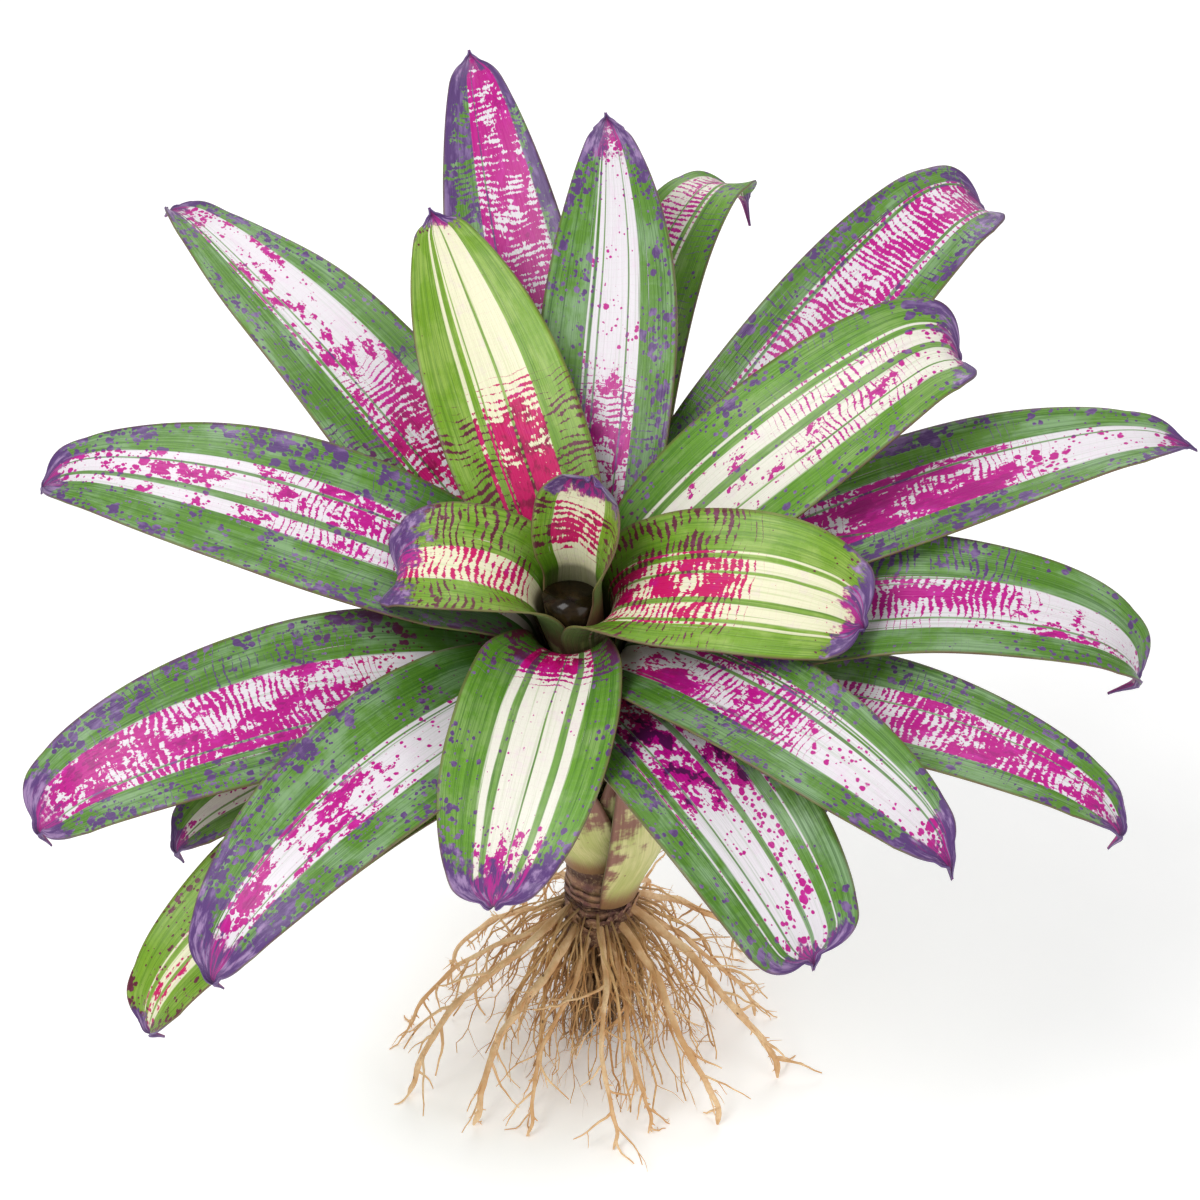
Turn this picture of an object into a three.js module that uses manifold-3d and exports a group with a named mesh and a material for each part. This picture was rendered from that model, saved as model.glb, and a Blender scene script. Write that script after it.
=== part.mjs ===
// Bare-rooted neoregelia bromeliad: a short stem that carries a spiral of strap leaves round a
// water-holding cup, the leaf sheaths that wrap the stem, and a fan of roots that it stands on.
// Millimetres and degrees, +Z up, origin on the surface straight below the stem's foot.
import * as THREE from "three";
import { mergeVertices } from "three/addons/utils/BufferGeometryUtils.js";
import Module from "manifold-3d";

const wasm = await Module();
wasm.setup();

// Stem, as radius and height before it is bent: a rounded knob, then a tapering shaft
const STEM_PROFILE = [
  [8, 62], [14, 66], [18, 74], [17.5, 84], [17, 92], [16, 150], [9, 240], [6, 244],
];
const STEM_RING = 14; // greatest height between two rings
const STEM_SIDES = 16;

// The stem stands upright at the roots and leans at the rosette
const BEND_ANGLE = 20;
const BEND_HEADING = 250;
const BEND_FROM_Z = 90;
const BEND_TO_Z = 260;
const BEND_STEPS = 60;

// Leaf spiral: leaf 1 is the innermost, and each older leaf grows and bends out lower
const CUP_Z = 284; // height on the straight stem that the leaves' tips are measured from
const THROAT_STEP = 4;
const THROAT_R = 14;
const CUP_LEAVES = 3; // these wrap the cup leaf closely
const CUP_R_STEP = 1.9;
const INNER_LEAVES = 13; // these share a tight tube
const INNER_R_STEP = 0.7;
const OUTER_R_STEP = 1.8;
const FOOT_TOP_Z = 240;
const CUP_FOOT_STEP = 8;
const INNER_FOOT_STEP = 4.4;
const OUTER_FOOT_STEP = 10.6;
const FOOT_GAP = 0.9; // stem surface to sheath, with room for both facets
const INNER_WRAP = 58;
const OUTER_WRAP = 120;
const BELLY = 8; // how far the sheaths of the outer leaves swell
const BELLY_SHARE = 0.4; // share of a sheath's height over which it swells
const BELLY_Z = [225, 120]; // heights where that swelling starts and where it is full

// Leaf section
const SHEATH_THICK = 0.8;
const BLADE_THICK = 1.2;
const EDGE_THIN = 0.35; // share of the thickness that is lost at the edges
const TIP_THIN = 0.25; // share that is lost at the tip
const THROAT_SHARE = 0.8; // width at the throat, as a share of the full width
const SPUR_SHARE = 0.03; // share of the blade's length that is its pointed spur
const SPUR_HALF = 1.4;
const ROUND_SHARE = 0.06; // share that its round end takes up before the spur
// The blade starts at a share of its full width, and reaches it at a share of its length.
const SWELL_FROM = 0.86;
const SWELL_BY = 0.4;
const WIDEN_BY = 0.2; // share of the blade over which the sheath's width turns into the blade's
const LEAN_OVER = [0.05, 0.5]; // shares of the blade between which it rolls to its lean
const CURL_FROM = 0.8; // share of the blade where its end starts to roll under
const RIB_STEPS = 80;
const BLADE_COLS = 4;
const OUTER_COLS = 12;

// az: heading; reach and rise: how far out and how far above CUP_Z the tip is; lift: how far the
// blade goes on upwards before it bends out; fall: slope at the tip; hang: how long it keeps to
// that slope; curl: how far the last part rolls under; lean and twist: roll of the whole blade and
// of its end; sweep: sideways turn of the tip; wide: width; full: share of the blade where it starts
// to narrow; point: how sharply it narrows; blunt: share of the width that is left where it rounds
// off; channel: half of the arc that the blade's section makes;
// opening: length over which the sheath's tight section opens to that arc; cols: columns of faces;
// wrap: half angle of a sheath that clasps more than its neighbours; tube: how much further up the
// leaf stays a sheath.
const LEAF = {
  fall: -20, hang: 90, curl: 30, lean: 0, twist: 0, sweep: 0, full: 0.45, point: 1, blunt: 0.25,
  channel: 22, opening: 75, tube: 0,
};
const LEAVES = [
  {
    az: 50, reach: 28, rise: 57, lift: 24, fall: 95, hang: 20, curl: 0, wide: 56, full: 0.6,
    point: 0.5, channel: 62, opening: 40, cols: 14, wrap: 172, tube: 6,
  },
  {
    az: 175, reach: 80, rise: 22, lift: 28, fall: -40, hang: 25, curl: 70, wide: 61, full: 0.6,
    point: 0.5, blunt: 0.4, cols: 8, wrap: 95,
  },
  {
    az: 342, reach: 138, rise: 22, lift: 32, fall: -25, hang: 50, wide: 72, lean: 8, full: 0.6,
    point: 0.5, blunt: 0.3, cols: 8, wrap: 90,
  },
  { az: 107, reach: 178, rise: 84, lift: 42, fall: 20, hang: 60, wide: 66 },
  {
    az: 258, reach: 148, rise: -26, lift: 28, fall: -48, hang: 50, wide: 74, lean: -6, full: 0.65,
    point: 0.5, blunt: 0.4,
  },
  {
    az: 22, reach: 204, rise: 74, lift: 26, fall: 0, hang: 60, curl: 80, wide: 70, lean: 12,
    point: 0.6, blunt: 0.45,
  },
  { az: 164, reach: 254, rise: 38, lift: 30, fall: -22, wide: 73, lean: -12, full: 0.4 },
  { az: 316, reach: 220, rise: 0, lift: 24, fall: -30, wide: 58, point: 0.8 },
  { az: 76, reach: 232, rise: 80, lift: 45, fall: 12, wide: 66, sweep: 7, blunt: 0.18 },
  { az: 226, reach: 236, rise: -24, lift: 20, fall: -45, wide: 70, lean: -12, full: 0.35, point: 0.9 },
  { az: 9, reach: 288, rise: 25, lift: 36, fall: -15, wide: 64 },
  { az: 131, reach: 285, rise: 68, lift: 60, fall: -8, wide: 70, twist: 20, full: 0.35, blunt: 0.2 },
  { az: 299, reach: 206, rise: -38, lift: 22, fall: -50, wide: 72, point: 0.5, blunt: 0.5 },
  {
    az: 42, reach: 282, rise: 58, lift: 34, fall: -10, curl: 60, wide: 66, lean: 12, point: 0.6,
    blunt: 0.45,
  },
  {
    az: 201, reach: 262, rise: -12, lift: 42, fall: -30, wide: 74, lean: -18, full: 0.4, point: 0.9,
    blunt: 0.4,
  },
  { az: 350, reach: 258, rise: -36, lift: 57, fall: -70, hang: 100, wide: 64, lean: 8, point: 0.9 },
  { az: 98, reach: 270, rise: 106, lift: 50, fall: 20, wide: 66, full: 0.4 },
  { az: 205, reach: 208, rise: -48, lift: 25, fall: -25, wide: 56, point: 0.8 },
  { az: 331, reach: 268, rise: -28, lift: 38, fall: -40, wide: 58, full: 0.4, point: 0.9 },
  { az: 218, reach: 260, rise: -92, lift: 30, fall: -50, wide: 62, point: 0.8, blunt: 0.3 },
  { az: 82, reach: 262, rise: 42, lift: 34, fall: -15, curl: 70, sweep: -13, wide: 56, blunt: 0.45 },
  { az: 317, reach: 140, rise: -58, lift: 22, fall: -20, wide: 56, point: 0.6, blunt: 0.3 },
];
const SHEATH_STATIONS = [0, 0.25, 0.5, 0.75];
const BLADE_STATIONS = [0, 0.05, 0.125, 0.225, 0.35, 0.5, 0.65, 0.775, 0.875, 0.9375, 0.975, 1];

// Water in the cup, from just above the stem's end up to a level surface
const WATER_FOOT = [8.8, 246.5]; // radius and height on the straight stem
const WATER_TOP = [12.4, 287];

// Main roots. from and to: headings on the knob and on the surface; high: where it leaves the knob;
// reach: how far out it stands; r: radius where it starts.
const ROOTS = [
  { from: 205, to: 210, high: 82, reach: 108, r: 2.1 },
  { from: 228, to: 231, high: 76, reach: 97, r: 2.3 },
  { from: 250, to: 247, high: 71, reach: 90, r: 1.4 },
  { from: 270, to: 274, high: 80, reach: 92, r: 1.5 },
  { from: 286, to: 286, high: 71, reach: 84, r: 1.3 },
  { from: 306, to: 307, high: 78, reach: 94, r: 2.2 },
  { from: 334, to: 334, high: 83, reach: 97, r: 2.3 },
  { from: 0, to: 2, high: 76, reach: 78, r: 1.5 },
  { from: 28, to: 33, high: 80, reach: 90, r: 2 },
  { from: 66, to: 74, high: 75, reach: 94, r: 1.8 },
  { from: 112, to: 115, high: 81, reach: 92, r: 2.1 },
  { from: 150, to: 152, high: 76, reach: 86, r: 1.6 },
  { from: 178, to: 184, high: 73, reach: 96, r: 1.5 },
];
const ROOT_SIDES = 6;
const ROOT_RINGS = 8;
const ROOT_START_R = 9; // inside the knob, before the root is trimmed to it
const ROOT_END_SHARE = 0.6; // radius at the foot as a share of the radius at the knob
const ROOT_WAVE = 2.2;
const ROOT_WAVES = 8; // radians along the root
const ROOT_DROP = 14; // how far a root sinks on its first stretch
const TRIM_GAP = 0.3;
const ROOTLETS = 3;
const ROOTLET_SIDES = 4;
const ROOTLET_R = 0.6;
const ROOTLET_LONG = [16, 30];
const ROOTLET_AT = [0.35, 0.85]; // shares of the root's length
const ROOTLET_TURN = [25, 60];
const ROOTLET_DROP = [0.2, 0.8]; // fall as a share of its length
const ROOTLET_SAG = 2;

// Fine roots: a dense core below the knob, and strands that leave it
const CORE_PROFILE = [[8, 61.5], [7, 52], [6, 34], [4, 14], [3, 0]];
const CORE_SIDES = 10;
const STRANDS = 20;
const STRAND_R = 0.75;
const STRAND_HIGH = [34, 60]; // height where a strand leaves the core
const STRAND_REACH = [18, 50];
const STRAND_AIR = [0, 16]; // height of a strand's end

const rad = THREE.MathUtils.degToRad;
const { lerp, clamp } = THREE.MathUtils;

// Goes from 0 at a to 1 at b, level at both ends. Either of them may be the larger.
function smooth(a, b, x) {
  const share = clamp((x - a) / (b - a), 0, 1);
  return share * share * (3 - 2 * share);
}

// A repeatable source of numbers from 0 to 1.
function seeded(seed) {
  let state = seed;
  return () => {
    state = (state * 16807) % 2147483647;
    return state / 2147483647;
  };
}

function polar(r, heading, z) {
  return new THREE.Vector3(r * Math.cos(rad(heading)), r * Math.sin(rad(heading)), z);
}

function stemRadius(z) {
  const i = STEM_PROFILE.findIndex((ring) => ring[1] >= z);
  const [r0, z0] = STEM_PROFILE[i - 1];
  const [r1, z1] = STEM_PROFILE[i];
  return lerp(r0, r1, (z - z0) / (z1 - z0));
}

// The place and tilt of the stem's axis at a height on the straight stem.
function stemAxis(z) {
  const tiltAt = (h) => rad(BEND_ANGLE) * smooth(BEND_FROM_Z, BEND_TO_Z, h);
  const place = { out: 0, up: Math.min(z, BEND_FROM_Z), tilt: tiltAt(z) };
  const rise = Math.max(0, z - BEND_FROM_Z) / BEND_STEPS;
  for (let i = 0; i < BEND_STEPS; i++) {
    const tilt = tiltAt(BEND_FROM_Z + (i + 0.5) * rise);
    place.out += rise * Math.sin(tilt);
    place.up += rise * Math.cos(tilt);
  }
  return place;
}

const BEND_OUT = polar(1, BEND_HEADING, 0);
const BEND_HINGE = polar(1, BEND_HEADING + 90, 0);

// Carries vectors of the straight plant round the bend at height z: the first is a place, and the
// others are directions.
function bend(z, place, ...directions) {
  const { out, up, tilt } = stemAxis(z);
  place.z -= z;
  for (const vector of [place, ...directions]) vector.applyAxisAngle(BEND_HINGE, tilt);
  place.addScaledVector(BEND_OUT, out);
  place.z += up;
}

function geometryOf(vertices, index) {
  const geometry = new THREE.BufferGeometry().setFromPoints(vertices);
  geometry.setIndex(index);
  return geometry;
}

// A closed solid through rings of equally many points, which run anticlockwise seen from its end.
function ringSolid(rings) {
  const sides = rings[0].length;
  const vertices = rings.flat();
  const middle = (ring) => ring.reduce((sum, v) => sum.add(v), new THREE.Vector3()).divideScalar(sides);
  const first = vertices.push(middle(rings[0])) - 1;
  const last = vertices.push(middle(rings.at(-1))) - 1;
  const at = (ring, i) => ring * sides + (i % sides);
  const index = [];
  for (let i = 0; i < sides; i++) {
    index.push(first, at(0, i + 1), at(0, i));
    index.push(last, at(rings.length - 1, i), at(rings.length - 1, i + 1));
    for (let k = 0; k < rings.length - 1; k++) {
      index.push(at(k, i), at(k, i + 1), at(k + 1, i + 1));
      index.push(at(k, i), at(k + 1, i + 1), at(k + 1, i));
    }
  }
  return geometryOf(vertices, index);
}

// A tapering round rod along a curve. Where it stands on the surface its end is level.
function rodSolid(curve, startR, endR, count, sides, stands) {
  const frames = curve.computeFrenetFrames(count - 1, false);
  const rings = [];
  for (let k = 0; k < count; k++) {
    const centre = curve.getPointAt(k / (count - 1));
    const r = lerp(startR, endR, k / (count - 1));
    const ring = [];
    for (let i = 0; i < sides; i++) {
      const angle = (2 * Math.PI * i) / sides;
      const v = centre.clone();
      v.addScaledVector(frames.normals[k], r * Math.cos(angle));
      v.addScaledVector(frames.binormals[k], r * Math.sin(angle));
      if (stands && k === count - 1) v.z = 0;
      ring.push(v);
    }
    rings.push(ring);
  }
  return ringSolid(rings);
}

function toManifold(geometry) {
  const bare = mergeVertices(new THREE.BufferGeometry().copy(geometry), 1e-4);
  const vertProperties = bare.getAttribute("position").array;
  const triVerts = new Uint32Array(bare.index.array);
  return new wasm.Manifold(new wasm.Mesh({ numProp: 3, vertProperties, triVerts }));
}

function fromManifold(solid) {
  const { vertProperties, triVerts } = solid.getMesh();
  const geometry = new THREE.BufferGeometry();
  geometry.setAttribute("position", new THREE.BufferAttribute(vertProperties, 3));
  geometry.setIndex(new THREE.BufferAttribute(triVerts, 1));
  return geometry;
}

function joined(geometries) {
  return geometries.map(toManifold).reduce((whole, next) => whole.add(next));
}

// Share of the full width along the blade: it narrows to a blunt round end with a short spur.
function widthShare(u, leaf) {
  const body = clamp(u / (1 - SPUR_SHARE), 0, 1);
  const swell = lerp(SWELL_FROM, 1, smooth(0, SWELL_BY, body));
  const past = clamp((body - leaf.full) / (1 - leaf.full), 0, 1);
  const taper = lerp(leaf.blunt, 1, (1 - past * past) ** leaf.point);
  const end = clamp((body - 1) / ROUND_SHARE + 1, 0, 1);
  const spur = ((2 * SPUR_HALF) / leaf.wide) * (1.25 - u);
  return Math.max(swell * taper * Math.sqrt(1 - end * end), spur);
}

// Where a leaf starts on the stem and where it bends out of the cup.
function leafPlan(leaf, rank) {
  const outer = Math.max(0, rank - INNER_LEAVES);
  const cup = Math.min(rank, CUP_LEAVES);
  const inner = rank - outer - cup;
  const footZ = FOOT_TOP_Z - CUP_FOOT_STEP * cup - INNER_FOOT_STEP * inner - OUTER_FOOT_STEP * outer;
  return {
    foot: new THREE.Vector2(stemRadius(footZ) + FOOT_GAP + SHEATH_THICK / 2, footZ),
    throat: new THREE.Vector2(
      THROAT_R + CUP_R_STEP * cup + INNER_R_STEP * inner + OUTER_R_STEP * outer,
      CUP_Z - THROAT_STEP * rank + leaf.tube,
    ),
    wrap: rad(leaf.wrap ?? (outer > 0 ? OUTER_WRAP : INNER_WRAP)),
    belly: outer > 0 ? BELLY : 0,
  };
}

// The blade's midrib in its own upright plane, as evenly spaced places with their slopes.
function bladeRib(leaf, { foot, throat }) {
  const tip = new THREE.Vector2(leaf.reach, CUP_Z + leaf.rise);
  const leave = throat.clone().sub(foot).setLength(leaf.lift);
  const arrive = new THREE.Vector2(leaf.hang, 0).rotateAround(new THREE.Vector2(), rad(leaf.fall));
  leave.add(throat);
  const curve = new THREE.CubicBezierCurve(throat, leave, tip.clone().sub(arrive), tip);
  const length = curve.getLength();
  const slopeAt = (u) => curve.getTangentAt(u).angle() - rad(leaf.curl) * smooth(CURL_FROM, 1, u);
  const rib = [{ place: throat, slope: slopeAt(0) }];
  for (let k = 0; k < RIB_STEPS; k++) {
    const step = new THREE.Vector2(length / RIB_STEPS, 0);
    step.rotateAround(new THREE.Vector2(), slopeAt((k + 0.5) / RIB_STEPS));
    rib.push({ place: rib[k].place.clone().add(step), slope: slopeAt((k + 1) / RIB_STEPS) });
  }
  return { length, at: (u) => rib[Math.round(u * RIB_STEPS)] };
}

// The leaf's place, section and thickness at each row, from its foot on the stem to its spur.
function leafRows(leaf, rank) {
  const plan = leafPlan(leaf, rank);
  const rib = bladeRib(leaf, plan);
  const half = leaf.wide / 2;
  const throatHalf = Math.min(half * THROAT_SHARE, plan.wrap * plan.throat.x);
  const rows = [];
  const add = (place, slope, u, halfWidth) => {
    const heading = leaf.az + leaf.sweep * u * u;
    const point = polar(place.x, heading, place.y);
    const side = polar(1, heading + 90, 0);
    const along = polar(Math.cos(slope), heading, Math.sin(slope));
    const up = new THREE.Vector3().crossVectors(along, side);
    const roll = rad(leaf.lean * smooth(...LEAN_OVER, u) + leaf.twist * u ** 3);
    up.applyAxisAngle(along, roll);
    side.applyAxisAngle(along, roll);
    const open = smooth(0, leaf.opening, u * rib.length);
    const curve = lerp(1 / place.x, rad(leaf.channel) / half, open);
    const thick = lerp(SHEATH_THICK, BLADE_THICK, open) * (1 - TIP_THIN * smooth(0.8, 1, u));
    bend(u > 0 ? plan.throat.y : place.y, point, side, up);
    rows.push({ point, side, up, curve, thick, halfWidth });
  };
  for (const k of SHEATH_STATIONS) {
    const place = plan.foot.clone().lerp(plan.throat, k);
    place.x += plan.belly * smooth(0, BELLY_SHARE, k) * smooth(...BELLY_Z, place.y);
    add(place, rib.at(0).slope, 0, place.x * lerp(plan.wrap, throatHalf / plan.throat.x, k));
  }
  for (const u of BLADE_STATIONS) {
    const { place, slope } = rib.at(u);
    add(place, slope, u, lerp(throatHalf, half * widthShare(u, leaf), smooth(0, WIDEN_BY, u)));
  }
  return rows;
}

// A closed thin solid over a grid of rows by columns, both faces split into triangles alike.
function sheetSolid(rows, cols) {
  const vertices = [];
  for (const face of [1, -1]) {
    for (const { point, side, up, curve, thick, halfWidth } of rows) {
      for (let j = 0; j <= cols; j++) {
        const t = (2 * j) / cols - 1;
        const angle = curve * halfWidth * t;
        const off = (face * thick * (1 - EDGE_THIN * t * t)) / 2;
        const v = point.clone();
        v.addScaledVector(side, (1 / curve - off) * Math.sin(angle));
        v.addScaledVector(up, 1 / curve - (1 / curve - off) * Math.cos(angle));
        vertices.push(v);
      }
    }
  }
  const last = rows.length - 1;
  const at = (face, i, j) => (face * rows.length + i) * (cols + 1) + j;
  const index = [];
  const quad = (a, b, c, d) => index.push(a, b, c, a, c, d);
  for (let i = 0; i < last; i++) {
    for (let j = 0; j < cols; j++) {
      quad(at(0, i, j), at(0, i + 1, j), at(0, i + 1, j + 1), at(0, i, j + 1));
      index.push(at(1, i, j), at(1, i, j + 1), at(1, i + 1, j + 1));
      index.push(at(1, i, j), at(1, i + 1, j + 1), at(1, i + 1, j));
    }
    quad(at(0, i, 0), at(1, i, 0), at(1, i + 1, 0), at(0, i + 1, 0));
    quad(at(0, i + 1, cols), at(1, i + 1, cols), at(1, i, cols), at(0, i, cols));
  }
  for (let j = 0; j < cols; j++) {
    quad(at(0, 0, j + 1), at(1, 0, j + 1), at(1, 0, j), at(0, 0, j));
    quad(at(0, last, j), at(1, last, j), at(1, last, j + 1), at(0, last, j + 1));
  }
  return geometryOf(vertices, index);
}

// The stem as rings on its bent axis, swollen by a margin where roots are trimmed to it.
function stemSolid(margin) {
  const profile = [STEM_PROFILE[0]];
  for (const [r, z] of STEM_PROFILE.slice(1)) {
    const [r0, z0] = profile.at(-1);
    const parts = Math.ceil((z - z0) / STEM_RING);
    for (let i = 1; i <= parts; i++) profile.push([lerp(r0, r, i / parts), lerp(z0, z, i / parts)]);
  }
  const rings = profile.map(([r, z], k) => {
    const ring = ringOf(r + margin, k === 0 ? z - margin : z, STEM_SIDES);
    for (const v of ring) bend(z, v);
    return ring;
  });
  return ringSolid(rings);
}

// A ring of points round the straight stem's axis.
function ringOf(r, z, sides) {
  return Array.from({ length: sides }, (_, i) => polar(r, (360 * i) / sides, z));
}

// The water fills the tilted cup, and its surface is level.
function waterSolid() {
  const foot = ringOf(...WATER_FOOT, STEM_SIDES);
  for (const v of foot) bend(WATER_FOOT[1], v);
  const [topR, topZ] = WATER_TOP;
  const { out, up } = stemAxis(topZ);
  const top = ringOf(topR, up, STEM_SIDES).map((v) => v.addScaledVector(BEND_OUT, out));
  return ringSolid([foot, top]);
}

function rootCurve(root, random) {
  const { from, to, high, reach } = root;
  const points = [];
  const arch = new THREE.CubicBezierCurve3(
    polar(ROOT_START_R, from, high),
    polar(lerp(ROOT_START_R, reach, 0.36), from, high - ROOT_DROP),
    polar(reach * 0.97, to, high * 0.4),
    polar(reach, to, 0),
  );
  const across = polar(ROOT_WAVE, to + 90, 0);
  const phase = 2 * Math.PI * random();
  for (let k = 0; k <= ROOT_RINGS; k++) {
    const t = k / ROOT_RINGS;
    const wave = Math.sin(phase + ROOT_WAVES * t) * smooth(0, 0.4, t) * smooth(1, 0.85, t);
    points.push(arch.getPoint(t).addScaledVector(across, wave));
  }
  return new THREE.CatmullRomCurve3(points);
}

// A main root with its side rootlets, trimmed to the knob.
function rootSolid(root, number, knob) {
  const random = seeded(97 * number + 11);
  const between = ([low, high]) => lerp(low, high, random());
  const curve = rootCurve(root, random);
  const parts = [rodSolid(curve, root.r, root.r * ROOT_END_SHARE, ROOT_RINGS, ROOT_SIDES, true)];
  for (let i = 0; i < ROOTLETS; i++) {
    const t = lerp(...ROOTLET_AT, (i + random()) / ROOTLETS);
    const start = curve.getPointAt(t);
    const turn = (i % 2 ? 1 : -1) * between(ROOTLET_TURN);
    const long = between(ROOTLET_LONG);
    const end = start.clone().add(polar(long, root.to + turn, -long * between(ROOTLET_DROP)));
    end.z = Math.max(end.z, ROOTLET_R + 1);
    const middle = start.clone().lerp(end, 0.5).add(polar(ROOTLET_SAG, root.to, ROOTLET_SAG));
    const path = new THREE.QuadraticBezierCurve3(start, middle, end);
    parts.push(rodSolid(path, ROOTLET_R * 1.3, ROOTLET_R * 0.8, 3, ROOTLET_SIDES, false));
  }
  return fromManifold(joined(parts).subtract(knob));
}

function fineRootsSolid() {
  const random = seeded(4021);
  const between = ([low, high]) => lerp(low, high, random());
  const parts = [ringSolid(CORE_PROFILE.toReversed().map(([r, z]) => ringOf(r, z, CORE_SIDES)))];
  for (let i = 0; i < STRANDS; i++) {
    const heading = (360 * (i + 0.6 * random())) / STRANDS;
    const reach = between(STRAND_REACH);
    const end = i % 2 ? 0 : between(STRAND_AIR);
    const high = between(STRAND_HIGH);
    const path = new THREE.CubicBezierCurve3(
      polar(3, heading, high),
      polar(lerp(3, reach, 0.4), heading, high - 6),
      polar(reach, heading + 6, end + 22),
      polar(reach, heading, end),
    );
    parts.push(rodSolid(path, STRAND_R, STRAND_R * 0.8, 5, ROOTLET_SIDES, end === 0));
  }
  return fromManifold(joined(parts));
}

function mesh(name, geometry, color, roughness) {
  geometry.computeVertexNormals();
  const material = new THREE.MeshStandardMaterial({ color, roughness, metalness: 0 });
  const made = new THREE.Mesh(geometry, material);
  made.name = name;
  return made;
}

function numbered(name, i) {
  return name + "_" + String(i + 1).padStart(2, "0");
}

const plant = new THREE.Group();
LEAVES.forEach((entry, rank) => {
  const leaf = { ...LEAF, cols: rank > INNER_LEAVES ? OUTER_COLS : BLADE_COLS, ...entry };
  plant.add(mesh(numbered("leaf", rank), sheetSolid(leafRows(leaf, rank), leaf.cols), 0x5f9a4a, 0.4));
});
plant.add(mesh("stem", stemSolid(0), 0x7a5a3a, 0.8));
plant.add(mesh("cup_water", waterSolid(), 0x2a2a20, 0.05));
const knob = toManifold(stemSolid(TRIM_GAP));
ROOTS.forEach((root, i) => {
  plant.add(mesh(numbered("root", i), rootSolid(root, i + 1, knob), 0xb08a58, 0.8));
});
plant.add(mesh("fine_roots", fineRootsSolid(), 0x8a6236, 0.9));

export default plant;
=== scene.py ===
"""Dresses a bare-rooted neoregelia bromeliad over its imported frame.

The plant is a rosette of variegated strap leaves round a small cup of water, the sheaths that
clasp its short stem, and the roots that it stands on. Sizes are millimetres and degrees until a
mesh is finished, and +Z is up.
"""

import logging
import math
from dataclasses import dataclass
from enum import Enum
from typing import Sequence

import bmesh
import bpy
from mathutils import Matrix, Vector, noise
from mathutils.geometry import interpolate_bezier


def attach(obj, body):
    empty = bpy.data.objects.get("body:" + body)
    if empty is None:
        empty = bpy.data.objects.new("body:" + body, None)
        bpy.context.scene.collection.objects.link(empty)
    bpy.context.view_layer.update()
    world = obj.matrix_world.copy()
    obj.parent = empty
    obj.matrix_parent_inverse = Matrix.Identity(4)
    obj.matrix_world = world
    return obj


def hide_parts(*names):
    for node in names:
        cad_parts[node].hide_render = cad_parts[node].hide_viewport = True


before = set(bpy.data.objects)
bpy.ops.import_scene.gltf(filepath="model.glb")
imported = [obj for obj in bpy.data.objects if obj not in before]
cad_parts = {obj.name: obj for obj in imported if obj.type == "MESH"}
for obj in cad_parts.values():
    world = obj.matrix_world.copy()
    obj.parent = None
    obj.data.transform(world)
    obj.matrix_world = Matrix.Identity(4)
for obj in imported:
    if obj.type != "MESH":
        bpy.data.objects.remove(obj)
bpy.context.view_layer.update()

LOG = logging.getLogger("bromeliad")
MM = 0.001
BODY = "root"
GOLDEN_ANGLE = 137.5
GOLDEN_SHARE = 0.618
UV_UNIT = 100  # the millimetres in a unit of the leaves' flat UV map
Colour = tuple[float, float, float, float]


# ---------------------------------------------------------------- numbers and places


def lerp(a: float, b: float, t: float) -> float:
    """The value at share t of the way from a to b."""
    return a + (b - a) * t


def clamp(x: float, low: float = 0.0, high: float = 1.0) -> float:
    """x, kept between low and high."""
    return min(max(x, low), high)


def smooth(a: float, b: float, x: float) -> float:
    """A rise from 0 at a to 1 at b that starts and ends level."""
    t = clamp((x - a) / (b - a))
    return t * t * (3 - 2 * t)


def polar(r: float, heading: float, z: float = 0.0) -> Vector:
    """The point at radius r, heading in degrees and height z."""
    angle = math.radians(heading)
    return Vector((r * math.cos(angle), r * math.sin(angle), z))


def linear(value: int) -> float:
    """One channel of a screen's colour, 0 to 255, as the light that a shader works with."""
    share = value / 255
    return share / 12.92 if share <= 0.04045 else ((share + 0.055) / 1.055) ** 2.4


def srgb(red: int, green: int, blue: int) -> Colour:
    """A screen's colour as the light that a shader works with."""
    return linear(red), linear(green), linear(blue), 1.0


class Draw:
    """A repeatable source of numbers from 0 to 1."""

    MULTIPLIER = 16807
    MODULUS = 2147483647

    def __init__(self, seed: int) -> None:
        """Starts the source at a seed."""
        self.state = seed

    def __call__(self) -> float:
        """The next number."""
        self.state = self.state * self.MULTIPLIER % self.MODULUS
        return self.state / self.MODULUS

    def between(self, low: float, high: float) -> float:
        """A number from low to high."""
        return lerp(low, high, self())

    def stray(self, droop: float = 0.5) -> Vector:
        """A short vector any way, or more often downwards where droop is past a half."""
        return Vector((self() - 0.5, self() - 0.5, self() - droop))


# ---------------------------------------------------------------- node sheets


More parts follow.
